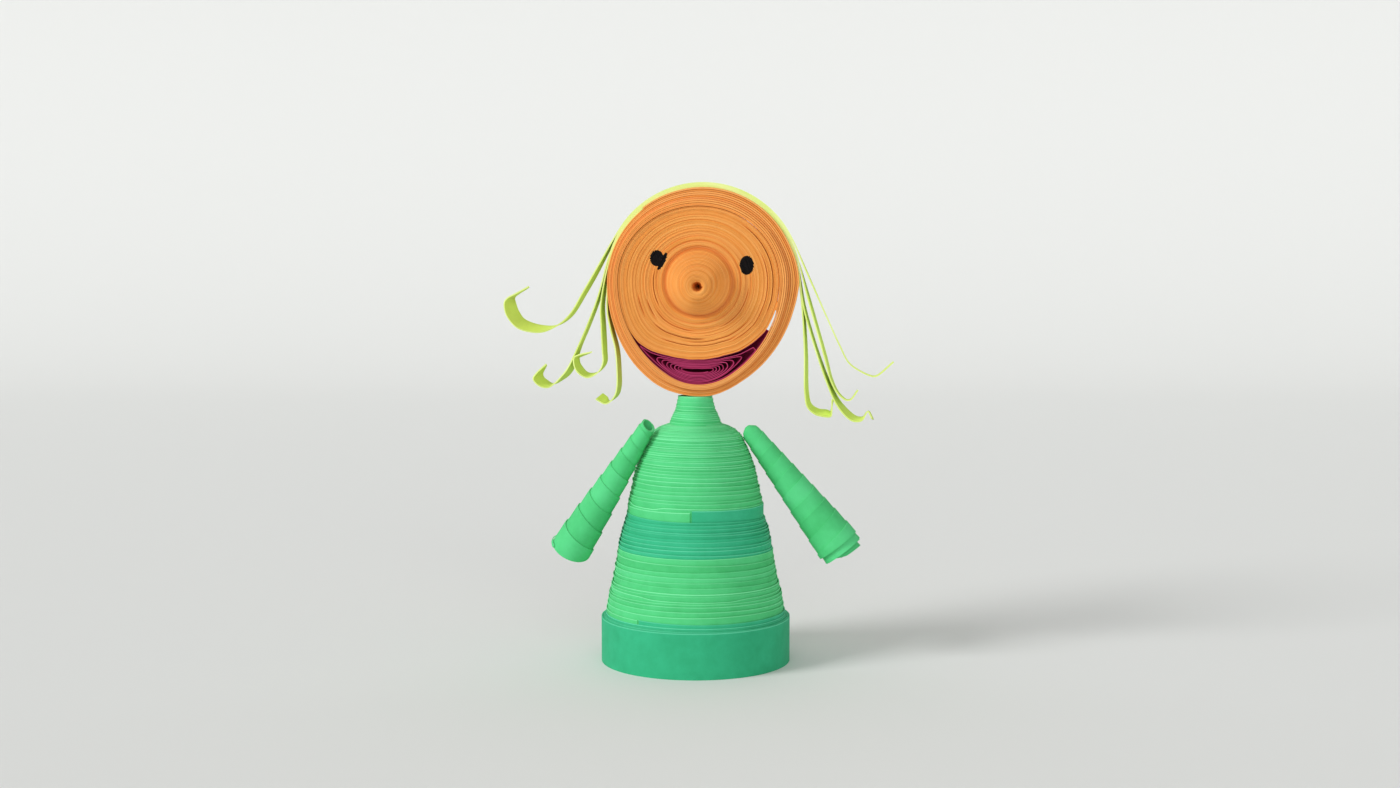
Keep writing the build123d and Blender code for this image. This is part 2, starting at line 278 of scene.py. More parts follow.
@dataclass
class Bars:
    """Closed sections carried along paths: the form of every strip of paper here.

    Fields:
        points: bar, place along the bar, point of the section, coordinate, in millimetres.
        along: bar, place: the turn count, which the finishes read as U.
        cut: for each side of the section, 1 where it is an edge cut by the knife.
        groove_shading: bar, place: how deep the place lies in a groove, 0 to 1, if that is known; it
            sets the painted groove shade.
    """

    points: np.ndarray
    along: np.ndarray
    cut: tuple[float, ...]
    groove_shading: np.ndarray | None = None

    def faces(self) -> tuple[np.ndarray, np.ndarray]:
        """The point numbers of the side quads and of the end caps."""
        bars, places, sides, _ = self.points.shape
        number = np.arange(bars * places * sides).reshape(bars, places, sides)
        near, far = number[:, :-1], number[:, 1:]
        quads = np.stack([near, far, np.roll(far, -1, 2), np.roll(near, -1, 2)], axis=-1)
        caps = np.concatenate([number[:, 0], number[:, -1, ::-1]])
        return quads.reshape(-1, 4), caps

    def inside_out(self, quads: np.ndarray, caps: np.ndarray) -> bool:
        """Whether the faces look inwards: the volume under them, from the middle, is negative.

        Each face is a fan of triangles from its first point. A triangle's volume from the
        middle is a sixth of its first corner times the cross product of the other two.

        Args:
            quads: the side faces' point numbers.
            caps: the end caps' point numbers.

        Returns:
            True if the faces have to be turned over.
        """
        flat = self.points.reshape(-1, 3)
        flat = flat - flat.mean(axis=0)
        total = 0.0
        for faces in (quads, caps):
            for k in range(1, faces.shape[1] - 1):
                normal = np.cross(flat[faces[:, k]], flat[faces[:, k + 1]])
                total += float(np.einsum("ij,ij->", flat[faces[:, 0]], normal))
        return total < 0

    def corner_uv(self) -> tuple[np.ndarray, np.ndarray]:
        """Turn count and place around the section, at the corners of the sides and the caps."""
        bars, places, sides, _ = self.points.shape
        around = np.arange(sides + 1) / sides
        near, far = self.along[:, :-1, None], self.along[:, 1:, None]
        u = np.broadcast_to(np.stack([near, far, far, near], -1), (bars, places - 1, sides, 4))
        v = np.stack([around[:-1], around[:-1], around[1:], around[1:]], -1)
        cap_u = np.repeat(np.concatenate([self.along[:, 0], self.along[:, -1]]), sides)
        cap_uv = np.stack([cap_u, np.tile(around[:-1], 2 * bars)], -1)
        return np.stack([u, np.broadcast_to(v, u.shape)], -1).reshape(-1, 4, 2), cap_uv

    @staticmethod
    def mark(mesh: bpy.types.Mesh, name: str, sides: np.ndarray, caps: np.ndarray) -> None:
        """Writes an attribute with one value for each side face, then for each cap."""
        attribute = mesh.attributes.new(name, "FLOAT", "FACE")
        attribute.data.foreach_set("value", np.concatenate([sides, caps]))

    def build(self, name: str) -> bpy.types.Object:
        """Fills a mesh with the bars.

        Args:
            name: the piece's name.

        Returns:
            The new object, with a UV map of turn count and place around the section, a face
            attribute "cut_edge", and one more, "sunk", for the painted shade in the grooves, where
            the grooves are known.
        """
        bars, places, sides, _ = self.points.shape
        quads, caps = self.faces()
        side_uv, cap_uv = self.corner_uv()
        if self.inside_out(quads, caps):
            quads, caps, side_uv = quads[:, ::-1], caps[:, ::-1], side_uv[:, ::-1]
        mesh = fill_mesh(name, self.points, quads.tolist() + caps.tolist())
        corners = np.concatenate([side_uv.reshape(-1, 2), cap_uv])
        mesh.uv_layers.new(name="UVMap").uv.foreach_set("vector", corners.ravel())
        self.mark(mesh, "cut_edge", np.tile(self.cut, bars * (places - 1)), np.ones(2 * bars))
        # The groove depth goes onto the mesh for the painted shade in the grooves.
        if self.groove_shading is not None:
            ends = np.concatenate([self.groove_shading[:, 0], self.groove_shading[:, -1]])
            self.mark(mesh, "groove_shading", np.repeat(self.groove_shading[:, :-1].ravel(), sides), ends)
        mesh.set_sharp_from_angle(angle=SHARPEST_SMOOTH)
        mesh.update()
        return add_object(name, mesh)


def strip_section(
    middle: np.ndarray,
    outward: np.ndarray,
    top: np.ndarray,
    foot: np.ndarray,
    paper: float | np.ndarray,
    foot_middle: np.ndarray | None = None,
    flare: float | np.ndarray = 0.0,
    knee: float = 0.6,
    edge: float = 0.75,
    lean: float = 1.0,
) -> np.ndarray:
    """Eight points around a standing strip, its upper edge frayed to a narrow bevel.

    The two walls lie half a paper's thickness either side of the middle. From the knee up
    to the upper edge they bend outwards, and the upper edge is drawn in to a share of the
    thickness over a bevel one thickness high.

    Args:
        middle: the strip's middle line in the roll's plane at its upper edge.
        outward: unit vectors at a right angle to it.
        top: height of the upper edge at each place.
        foot: height of the lower edge at each place.
        paper: thickness, one for all places or one for each.
        foot_middle: the middle line at the lower edge, if the strip leans.
        flare: how far the upper edge bends outwards.
        knee: how far below the upper edge the bend starts.
        edge: width of the upper edge, as a share of the thickness.
        lean: the power with which the lean grows from the upper edge to the lower one.

    Returns:
        Place, point, and three coordinates: two in the roll's plane, then the height.
    """
    places = len(middle)
    half = np.broadcast_to(np.asarray(paper) / 2, places)
    bend = np.broadcast_to(flare, places)
    near, bevel, bent = edge * half, 2.0 * half, BEVEL_BEND * bend
    inner = (bend - near, bent - half, -half, -half)
    walls = np.stack([half, half, half + bent, near + bend, *inner], axis=1)
    rise = (foot, top - knee, top - bevel, top)
    height = np.stack([*rise, *rise[::-1]], axis=1)
    line = np.repeat(middle[:, None], 8, axis=1)
    if foot_middle is not None:
        fallen = ((top[:, None] - height) / (top - foot)[:, None]) ** lean
        line = line + (foot_middle - middle)[:, None] * fallen[:, :, None]
    return np.concatenate([line + outward[:, None] * walls[:, :, None], height[:, :, None]], axis=2)


def attach(piece: bpy.types.Object, finish: bpy.types.Material, node: str) -> None:
    """Dresses a piece, ties it to the doll and lets it stand for its CAD node.

    Args:
        piece: the object.
        finish: its material.
        node: the CAD node.
    """
    piece.data.materials.append(finish)
    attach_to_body(piece, "root")
    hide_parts(node)
    LOG.info("%s: %d faces, for %s", piece.name, len(piece.data.polygons), node)


def lay_strip(
    node: str,
    finish: bpy.types.Material,
    rows: np.ndarray,
    turns: np.ndarray,
    groove_shading: np.ndarray | None = None,
) -> None:
    """Builds one wound strip, which stands for a CAD node.

    Args:
        node: the CAD node.
        finish: its material.
        rows: its sections: place, point, coordinate.
        turns: its places, in turns.
        groove_shading: how deep each place lies in a groove, if that is known, which sets its
            painted groove shade.
    """
    grooves = None if groove_shading is None else groove_shading[None]
    bars = Bars(rows[None], turns[None], STRIP_CUT, grooves)
    attach(bars.build(node + "_strip"), finish, node)


# Finishes


def linear(red: int, green: int, blue: int) -> tuple[float, float, float, float]:
    """A colour as seen on a screen, 0 to 255, as the linear light that a shader takes."""
    parts = [c / 255 for c in (red, green, blue)]
    return (*(c / 12.92 if c <= 0.04045 else ((c + 0.055) / 1.055) ** 2.4 for c in parts), 1.0)


class Tree:
    """A material's node tree, with short calls to add and join its nodes."""

    def __init__(self, name: str) -> None:
        """Starts an empty material of the given name."""
        self.material = bpy.data.materials.new(name)
        self.material.use_nodes = True
        self.nodes = self.material.node_tree.nodes
        self.nodes.clear()

    def add(self, kind: str, inputs: Inputs | None = None, **settings: str) -> bpy.types.Node:
        """Adds a node.

        Args:
            kind: the node's type, without its ShaderNode prefix.
            inputs: socket name or number to a value, or to the socket that feeds it.
            settings: the node's own properties.

        Returns:
            The node.
        """
        node = self.nodes.new("ShaderNode" + kind)
        for key, value in settings.items():
            setattr(node, key, value)
        for key, value in (inputs or {}).items():
            if isinstance(value, Socket):
                self.material.node_tree.links.new(value, node.inputs[key])
            else:
                node.inputs[key].default_value = value
        return node

    def math(self, operation: str, *values: float | Socket) -> Socket:
        """A Math node's result from values or sockets."""
        return self.add("Math", dict(enumerate(values)), operation=operation).outputs[0]

    def noise(self, vector: Socket, scale: float, detail: float, rough: float = 0.5) -> Socket:
        """Noise between about 0 and 1 over a vector."""
        inputs = {"Vector": vector, "Scale": scale, "Detail": detail, "Roughness": rough}
        return self.add("TexNoise", inputs).outputs["Fac"]

    def fibres(self, vector: Socket) -> Socket:
        """The noise of a paper's fibres, which lie about a fifth of a millimetre apart."""
        return self.noise(vector, FIBRE_RATE, 3.0, 0.6)

    def ramp(self, value: Socket, low: float, high: float) -> Socket:
        """Stretches the span from low to high onto 0 to 1, and holds it there."""
        node = self.add("MapRange", {"Value": value, "From Min": low, "From Max": high})
        return node.outputs["Result"]

    def mix(self, amount: Socket, first: Colour, second: Colour) -> Socket:
        """Blends two colours, whose sockets go by number as other kinds share their names."""
        inputs = {"Factor": amount, MIX_FIRST: first, MIX_SECOND: second}
        return self.add("Mix", inputs, data_type="RGBA").outputs[MIX_RESULT]

    def attribute(self, name: str) -> Socket:
        """The value of one of the mesh's own attributes."""
        return self.add("Attribute", attribute_name=name).outputs["Fac"]

    def undone(self, vector: Socket, place: Point, turn: Point, size: Point) -> Socket:
        """A vector read in a frame of the given place, turn and size."""
        inputs = {"Vector": vector, "Location": place, "Rotation": turn, "Scale": size}
        return self.add("Mapping", inputs, vector_type="TEXTURE").outputs[0]

    def matt(
        self,
        colour: Colour,
        rough: float | Socket,
        specular: float,
        fibre: Socket | None = None,
        relief: float = 0.0,
    ) -> bpy.types.Material:
        """Joins a matt surface to the output.

        Args:
            colour: its colour.
            rough: its roughness.
            specular: its specular level.
            fibre: the height of its fibres, if it has any.
            relief: how strongly they show.

        Returns:
            The material.
        """
        inputs = {"Base Color": colour, "Roughness": rough, "Specular IOR Level": specular}
        if fibre is not None:
            raised = {"Height": fibre, "Strength": relief, "Distance": FIBRE_HEIGHT}
            inputs["Normal"] = self.add("Bump", raised).outputs[0]
        shader = self.add("BsdfPrincipled", inputs)
        self.add("OutputMaterial", {"Surface": shader.outputs[0]})
        return self.material


@dataclass(frozen=True)
class InkSpot:
    """One dab of a felt-tip pen on the face, an oval in the head's own plane.

    Fields:
        right, up: its middle from the middle of the face roll.
        half_width, half_height: its half sizes.
        lean: degrees that its upper end leans to the viewer's right.
    """

    right: float
    up: float
    half_width: float
    half_height: float
    lean: float = 0.0

    def reach(self, right: np.ndarray, up: np.ndarray) -> np.ndarray:
        """How far out points lie: 1 on the oval's rim, less inside it."""
        across, along = rotated(right - self.right, up - self.up, math.radians(self.lean))
        return np.hypot(across / self.half_width, along / self.half_height)


@dataclass(frozen=True)
class Paper:
    """Coloured craft paper: matt, lightly mottled, a little different from turn to turn.

    Fields:
        name: the finish's name.
        deep, plain, pale: the paper's colour in its darker, usual and lighter places.
        edge: the colour of the cut edges, where the fibres are open.
        groove: painted shade between turns, a darker colour for the shade in the grooves and for
            light passed on from paper to paper.
            edge_share, groove_shade_share: how much of the edge colour and of that painted shade
                shows at most.
        turn_rate, width_rate: changes of tone in a turn of strip, and across the strip.
        edge_rate: changes along the cut edge, for each change of tone.
        mottle_rate: changes of the mottling in a metre.
        mottle_share: how much of the tone is mottling.
        roughness: of the surface, on average.
        fibre_roughness: how much the fibres change it.
        relief: how strongly the fibres show.
        specular: of the surface.
        stain: the colour of soaked ink.
        soaked: how deep ink reaches into the paper from the front, in millimetres.
        fray: how much the fibres move a stain's rim.
        fringe: where a stain has faded to nothing, if its rim lies at 1.
    """

    name: str
    deep: Screen
    plain: Screen
    pale: Screen
    edge: Screen
    groove: Screen = (40, 60, 40)
    edge_share: float = 0.7
    groove_shade_share: float = 0.45
    turn_rate: float = 0.55
    width_rate: float = 0.4
    edge_rate: float = 2.3
    mottle_rate: float = 420.0
    mottle_share: float = 0.25
    roughness: float = 0.78
    fibre_roughness: float = 0.16
    relief: float = 0.25
    specular: float = 0.3
    stain: Screen = (10, 8, 9)
    soaked: float = 2.0
    fray: float = 0.2
    fringe: float = 1.28

    def build(
        self, ink: tuple[InkSpot, ...] = (), place: HeadPlace | None = None
    ) -> bpy.types.Material:
        """Makes the material.

        Args:
            ink: dabs of pen whose fringe stains the paper.
            place: where the head stands, if there is ink.

        Returns:
            The material.
        """
        tree = Tree(self.name)
        coordinates = tree.add("TexCoord").outputs
        own = coordinates["Object"]
        rates = {"Vector": coordinates["UV"], "Scale": (self.turn_rate, self.width_rate, 1.0)}
        strip = tree.add("Mapping", rates).outputs[0]
        tone = tree.ramp(tree.noise(strip, 1.0, 2.0), 0.25, 0.75)
        mottle = tree.ramp(tree.noise(own, self.mottle_rate, 5.0, 0.6), 0.3, 0.7)
        fibre = tree.fibres(own)
        tone = tree.math("MULTIPLY", tone, 1 - self.mottle_share)
        tone = tree.math("ADD", tone, tree.math("MULTIPLY", mottle, self.mottle_share))
        colour = tree.mix(tree.ramp(tone, 0.0, 0.5), linear(*self.deep), linear(*self.plain))
        colour = tree.mix(tree.ramp(tone, 0.5, 1.0), colour, linear(*self.pale))
        frayed = tree.ramp(tree.noise(strip, self.edge_rate, 2.0), 0.3, 0.65)
        frayed = tree.math("MULTIPLY", frayed, self.edge_share)
        frayed = tree.math("MULTIPLY", tree.attribute("cut_edge"), frayed)
        colour = tree.mix(frayed, colour, linear(*self.edge))
        # Painted shade in the grooves: the groove colour, as strong as the mesh's groove depth says.
        groove_shading = tree.math("MULTIPLY", tree.attribute("groove_shading"), self.groove_shade_share)
        colour = tree.mix(groove_shading, colour, linear(*self.groove))
        for spot in ink:
            inked = self.inked(tree, own, fibre, spot, place)
            colour = tree.mix(inked, colour, linear(*self.stain))
        rough = tree.math("MULTIPLY", fibre, self.fibre_roughness)
        rough = tree.math("ADD", rough, self.roughness - self.fibre_roughness / 2)
        return tree.matt(colour, rough, self.specular, fibre, self.relief)

    def inked(
        self, tree: Tree, own: Socket, fibre: Socket, spot: InkSpot, place: HeadPlace
    ) -> Socket:
        """How much ink a point of the face has: all inside the spot, none just outside it.

        The head's turn and the spot's place, lean and half sizes are undone one after the
        other, so that the spot's rim lies one unit from the middle. The fibres fray it.

        Args:
            tree: the face's material.
            own: the point, on Object coordinates.
            fibre: the fibres' noise.
            spot: the dab of pen.
            place: where the head stands.

        Returns:
            The amount, 0 to 1.
        """
        middle = tuple(c * METRES for c in place.middle)
        dab = (spot.right * METRES, 0.0, spot.up * METRES)
        sizes = (spot.half_width, self.soaked, spot.half_height)
        head = tree.undone(own, middle, (0.0, 0.0, -math.radians(place.yaw)), (1.0, 1.0, 1.0))
        lean, size = (0.0, math.radians(spot.lean), 0.0), tuple(c * METRES for c in sizes)
        oval = tree.undone(head, dab, lean, size)
        out = tree.add("VectorMath", {0: oval}, operation="LENGTH").outputs["Value"]
        frayed = tree.math("ADD", out, tree.math("MULTIPLY", fibre, self.fray))
        return tree.math("SUBTRACT", 1.0, tree.ramp(frayed, 1.0, self.fringe))


@dataclass(frozen=True)
class Ink:
    """Dried felt-tip ink on paper edges: near black, with a faint dry sheen.

    Fields:
        name: the finish's name.
        dark, light: its colour in its darker and lighter places.
        roughness, specular: of the surface.
        relief: how strongly the paper's fibres show through.
    """

    name: str = "felt_tip_ink"
    dark: Screen = (6, 5, 6)
    light: Screen = (22, 17, 17)
    roughness: float = 0.65
    specular: float = 0.12
    relief: float = 0.3

    def build(self) -> bpy.types.Material:
        """Makes the material."""
        tree = Tree(self.name)
        fibre = tree.fibres(tree.add("TexCoord").outputs["Object"])
        colour = tree.mix(tree.ramp(fibre, 0.3, 0.75), linear(*self.dark), linear(*self.light))
        return tree.matt(colour, self.roughness, self.specular, fibre, self.relief)


LIGHT_GREEN = Paper(
    "light_green_paper",
    deep=(56, 176, 98),
    plain=(80, 202, 126),
    pale=(98, 216, 146),
    edge=(138, 240, 178),
)
TEAL = Paper(
    "teal_paper",
    deep=(34, 156, 106),
    plain=(50, 180, 130),
    pale=(68, 196, 148),
    edge=(104, 216, 172),
)
ORANGE = Paper(
    "orange_paper",
    deep=(212, 126, 44),
    plain=(236, 152, 62),
    pale=(246, 174, 86),
    edge=(248, 184, 104),
    # The groove colour is painted shade between the turns.
    groove=(214, 98, 34),
    edge_share=0.55,
    turn_rate=0.8,
)
WRAP_ORANGE = Paper(
    "orange_wrap_paper",
    deep=(216, 122, 40),
    plain=(238, 148, 58),
    pale=(246, 172, 88),
    edge=(250, 188, 118),
    # The groove colour is painted shade between the turns.
    groove=(216, 104, 34),
    edge_share=0.55,
    turn_rate=0.8,
)
MAGENTA = Paper(
    "magenta_paper",
    deep=(124, 14, 56),
    plain=(158, 25, 77),
    pale=(182, 43, 99),
    edge=(206, 70, 124),
    # The groove colour is painted shade between the turns.
    groove=(84, 4, 40),
    edge_share=0.8,
)
LIME = Paper(
    "lime_paper",
    deep=(194, 212, 74),
    plain=(210, 232, 104),
    pale=(222, 242, 132),
    edge=(232, 246, 160),
    edge_share=0.95,
)


# Dress and neck


@dataclass(frozen=True)
class StripLength:
    """One colour of the dress roll, from where the last one ended.

    Fields:
        node: the CAD node that it stands for.
        slot: the record's slot; not used.
        paper: its finish.
        radius: how far out it reaches.
        end: the angle of its outer end, in degrees from the viewer's right, seen from above.
        seed: fixes its unevenness.
    """

    node: str
    slot: Slot
    paper: Paper
    radius: float
    end: float
    seed: int


@dataclass(frozen=True)
class Slip:
    """A stretch of one turn that was pushed out less than its neighbours.

    Fields:
        radius: of the turn.
        start, end: the angles between which it lies low, in degrees.
        drop: how much lower.
        turns: how many turns share it.
        ease: the part of a turn within which it rises to the rest, to either side of an end.
    """

    radius: float
    start: float
    end: float
    drop: float
    turns: int = 1
    ease: float = 0.02

    def lower(self, turns: np.ndarray, radii: np.ndarray, pitch: float) -> np.ndarray:
        """How much lower each place of a winding lies.

        The turn nearest the radius is found first. Each of its turns is low between the two
        angles.

        Args:
            turns: the places, in turns.
            radii: the winding's radius at each place.
            pitch: radius gained in a turn.

        Returns:
            The drop at each place.
        """
        ease = self.ease
        span = ((self.end - self.start) % 360) / 360
        first = turns[0] + (self.radius - radii[0]) / pitch - span / 2
        begin = math.floor(first - self.start / 360 + 0.5) + self.start / 360
        low = np.zeros_like(turns)
        for k in range(self.turns):
            local = turns - begin - k
            ended = smoothstep(span - ease, span + ease, local)
            low += smoothstep(-ease, ease, local) * (1 - ended)
        return self.drop * low


@dataclass
class DressRoll:
    """The dress and neck: strips glued end to end in one tight roll, then pushed out.

    The roll's radius grows by one paper's thickness a turn, and the height of each place's
    upper edge is read off the dress's outline at that radius. Below it hangs a strip's width.

    Fields:
        strip, paper: width of the strip, and the radius that one turn adds.
        packed: the paper's thickness, as a share of what one turn adds.
        eye: radius at which the roll starts.
        places_a_turn: how many sections the strip has in a turn.
        unevenness: how unevenly the turns stand, as a share of the step between two.
        slow, quick: lowest and highest rates of its two kinds of waves, in waves a turn.
        quick_share: size of the quick waves against the slow ones.
        flare: how far the upper edges bend outwards on average.
        loose, loose_size: rates of the waves in that flare, and their size.
        tightest: the lowest value those waves may have.
        flare_in, flare_out: radii over which the flare starts and ends.
        quick_seed, loose_seed: added to a length's seed for those waves.
        seam: gap between the ends of two lengths.
        outline: height of the upper edge, by radius.
        lengths: the colours, from the neck outwards.
        slips: the turns that stand lower.
    """

    strip: float = 7.0
    paper: float = 0.135
    packed: float = 0.9
    eye: float = 0.5
    places_a_turn: int = 96
    unevenness: float = 0.25
    slow: tuple[float, float] = (0.12, 0.46)
    quick: tuple[float, float] = (1.2, 4.0)
    quick_share: float = 0.2
    flare: float = 0.05
    loose: tuple[float, float] = (0.3, 2.2)
    loose_size: float = 1.4
    tightest: float = -0.5
    flare_in: tuple[float, float] = (2.0, 5.0)
    flare_out: tuple[float, float] = (13.5, 13.9)
    quick_seed: int = 50
    loose_seed: int = 90
    seam: float = 0.3
    outline: Table = (
        (0.5, 40.55), (2.6, 40.55), (2.8, 39.3), (3.15, 38.3), (4.0, 36.3), (5.1, 35.95),
        (6.1, 35.4), (7.05, 34.5), (8.46, 31.5), (9.23, 29.1), (9.85, 26.0), (10.35, 24.0),
        (10.42, 22.75), (11.2, 20.0), (11.8, 17.2), (12.5, 12.9), (13.3, 9.9), (13.55, 7.9),
        (13.85, 7.2), (14.0, 6.9), (14.46, 6.85),
    )
    lengths: tuple[StripLength, ...] = (
        StripLength("neck_coil", Slot.GREEN, LIGHT_GREEN, 4.0, 290.0, 11),
        StripLength("bodice_coil", Slot.GREEN, LIGHT_GREEN, 10.35, 265.5, 12),
        StripLength("waist_band_coil", Slot.TEAL, TEAL, 11.8, 95.0, 13),
        StripLength("skirt_coil", Slot.GREEN, LIGHT_GREEN, 13.55, 231.0, 14),
        StripLength("hem_coil", Slot.TEAL, TEAL, 14.46, 130.0, 15),
    )
    slips: tuple[Slip, ...] = (
        Slip(10.1, 200.0, 238.0, 0.35),
        Slip(12.9, 235.0, 300.0, 0.25),
    )

    def upper_edge(self, turns: np.ndarray, radii: np.ndarray, seed: int) -> np.ndarray:
        """Height of the upper edge: the outline's at that radius, made uneven.

        The unevenness is a share of the step from one turn to the next, so that no turn
        sinks below the one around it, and the hem and the neck's flat top keep even.

        Args:
            turns: the places, in turns.
            radii: the winding's radius at each place.
            seed: fixes the unevenness.

        Returns:
            The height at each place.
        """
        level = read(self.outline, radii)
        step = read(self.outline, radii - self.paper) - level
        slow = waves(turns, seed, *self.slow)
        quick = waves(turns, seed + self.quick_seed, *self.quick)
        level += self.unevenness * step * (slow + self.quick_share * quick)
        for slip in self.slips:
            level -= slip.lower(turns, radii, self.paper)
        return level

    def flares(self, turns: np.ndarray, radii: np.ndarray, seed: int) -> np.ndarray:
        """How far each place's upper edge bends out: not at all at the neck and the hem.

        Args:
            turns: the places, in turns.
            radii: the winding's radius at each place.
            seed: fixes the unevenness.

        Returns:
            The flare at each place.
        """
        loose = np.maximum(waves(turns, seed + self.loose_seed, *self.loose), self.tightest)
        inner, outer = smoothstep(*self.flare_in, radii), smoothstep(*self.flare_out, radii)
        return self.flare * (1 + self.loose_size * loose) * inner * (1 - outer)

    def build(self) -> None:
        """Builds each colour's strip."""
        start = 0.0
        for length in self.lengths:
            end = turn_count(length.radius, self.eye, self.paper, length.end)
            turns = np.linspace(start, end, int((end - start) * self.places_a_turn) + 2)
            radii = self.eye + self.paper * turns
            outward = rays(TURN * turns)
            top = self.upper_edge(turns, radii, length.seed)
            foot = np.maximum(top - self.strip, 0.0)
            flare = self.flares(turns, radii, length.seed)
            thickness = self.packed * self.paper
            middle = outward * radii[:, None]
            rows = strip_section(middle, outward, top, foot, thickness, flare=flare)
            lay_strip(length.node, length.paper.build(), rows, turns)
            start = end + self.seam / (TURN * length.radius)


# Head


@dataclass
class HeadPlace:
    """Where the head stands: the middle of its front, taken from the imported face, and its turn."""

    yaw: float = 3.0
    strip: float = 5.0
    middle: Point = field(init=False)

    def __post_init__(self) -> None:
        """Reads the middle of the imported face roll."""
        low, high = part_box("face_coil")
        centre = [(a + b) / 2 / METRES for a, b in zip(low, high)]
        self.middle = (centre[0], 0.0, centre[2])

    def set(self, points: np.ndarray) -> np.ndarray:
        """Moves points from the head's own frame to the doll's.

        Args:
            points: right, up and forward of the face's front, in the last axis.

        Returns:
            The same points in the row's frame.
        """
        right, up, forward = np.moveaxis(points, -1, 0)
        x, y = rotated(right, -forward - self.strip / 2, -math.radians(self.yaw))
        return np.stack([x + self.middle[0], y + self.middle[1], up + self.middle[2]], axis=-1)


@dataclass
class FaceRoll:
    """The face: one roll seen from its edge, its middle pushed forward into a nose.

    The radius grows by one paper's thickness a turn. How far each place stands forward is
    read off the face's profile at that radius. The turns are round at the nose, whose middle
    sags, and pass evenly into the head's inner outline at the rim, apart from the crescent
    that the mouth takes up. The first turns close up towards the back, so that the eye of
    the roll is a blind hole.

    Fields:
        paper: the radius that one turn adds.
        fullness: the strip's thickness against that, over 1 to leave no chinks.
        eye, radius: where the roll starts, and where it ends.
        end: the angle of its outer end, in degrees from the viewer's right.
        round_to: radius up to which the turns are round.
        closed, closing: how far the back edges of the first turns close up, as a share, and
            the radii over which that fades.
        groove_shade_radii: radii over which the painted shade in the grooves fades in.
            groove_reach, groove_depth: how far in and out the face around a groove is read, and
            the depth of a groove that gets the full painted shade.
        slow, quick, quick_share, seeds: the waves of its unevenness, as in the dress.
        crescent: how far the rim stands back from the wraps, in degrees and millimetres.
        sag: how low the turns' middle lies, by radius.
        unevenness: the waves' size.
        profile: how far forward the face stands, by radius.
        slips: the turns that lie further back.
    """

    place: HeadPlace
    paper: float = 0.165
    fullness: float = 1.25
    eye: float = 0.78
    radius: float = 12.22
    end: float = 345.0
    places_a_turn: int = 96
    round_to: float = 4.0
    closed: float = 0.97
    closing: tuple[float, float] = (0.75, 1.7)
    groove_shade_radii: tuple[float, float] = (1.5, 3.0)
    groove_reach: float = 0.45
    groove_depth: float = 0.3
    slow: tuple[float, float] = (0.1, 0.42)
    quick: tuple[float, float] = (1.3, 4.0)
    quick_share: float = 0.25
    seeds: tuple[int, int] = (21, 22)
    crescent: Table = (
        (214.0, 0.0), (219.0, 0.1), (226.0, 0.32), (235.0, 1.05), (248.0, 2.5), (258.0, 3.4),
        (269.0, 3.8), (280.0, 3.62), (289.0, 3.05), (300.0, 1.95), (312.0, 1.1), (324.0, 0.38),
        (338.0, 0.16), (345.0, 0.0),
    )
    sag: Table = ((0.8, 0.75), (5.0, 0.14), (8.0, 0.3), (12.0, 0.42))
    unevenness: float = 0.05
    profile: Table = (
        (0.75, 4.1), (1.1, 4.3), (1.75, 4.2), (2.1, 3.8), (3.0, 2.75), (3.9, 1.6), (4.8, 0.25),
        (5.05, -0.06), (5.4, -0.1), (5.6, 0.12), (6.1, 0.1), (6.22, -0.08), (6.4, -0.06),
        (6.55, 0.08), (6.95, 0.04), (7.1, -0.12), (9.5, -0.08), (11.1, -0.05), (11.25, -0.13),
        (11.9, -0.05), (12.3, 0.07),
    )
    slips: tuple[Slip, ...] = (
        Slip(11.2, 338.0, 46.0, 0.5),
        Slip(6.78, 168.0, 208.0, 0.5),
        Slip(8.1, 200.0, 218.0, 0.5),
        Slip(9.3, 194.0, 210.0, 0.35),
        Slip(8.75, 226.0, 272.0, 0.45),
        Slip(10.0, 240.0, 300.0, 0.4),
        Slip(9.4, 262.0, 320.0, 0.3),
        Slip(7.6, 300.0, 350.0, 0.3),
        Slip(8.35, 225.0, 271.0, -0.3, 2),
        Slip(10.4, 300.0, 20.0, 0.25),
        Slip(7.5, 215.0, 262.0, 0.25),
    )

    def radii(self, turns: np.ndarray) -> np.ndarray:
        """The winding's radius at each place."""
        return self.eye + self.paper * turns

    def last_turn(self) -> float:
        """Turn count at which the strip ends, at its angle on the rim."""
        return turn_count(self.radius, self.eye, self.paper, self.end)

    def rim(self, angle: np.ndarray) -> np.ndarray:
        """Distance from the middle to the last turn's middle line, by angle in radians.

        It is the wraps' inner outline, less the mouth's crescent and half a paper.
        """
        crescent = read(self.crescent, np.degrees(np.mod(angle, TURN)))
        return INNER_EGG.distance(angle) - crescent - self.paper / 2

    def middles(self, turns: np.ndarray) -> np.ndarray:
        """Middle line of the strip: a round spiral that turns into the rim's outline outwards.

        The share of the rim's outline in the line rises from 0 on the nose to 1 at the rim.

        Args:
            turns: the places, in turns.

        Returns:
            Rows of two coordinates, right and up of the middle of the face.
        """
        radii, angles = self.radii(turns), TURN * turns
        share = smoothstep(self.round_to, self.radius, radii)
        reach = radii * (1 + (self.rim(angles) / self.radius - 1) * share)
        sag = read(self.sag, radii) * (1 - share)
        return np.stack([reach * np.cos(angles), reach * np.sin(angles) - sag], axis=1)

    def edge(self, angle: np.ndarray) -> np.ndarray:
        """Distance from the middle to the last turn's outer wall, by angle in radians."""
        turns = self.last_turn() - np.mod(math.radians(self.end) - angle, TURN) / TURN
        return np.hypot(*self.middles(turns).T) + self.paper / 2

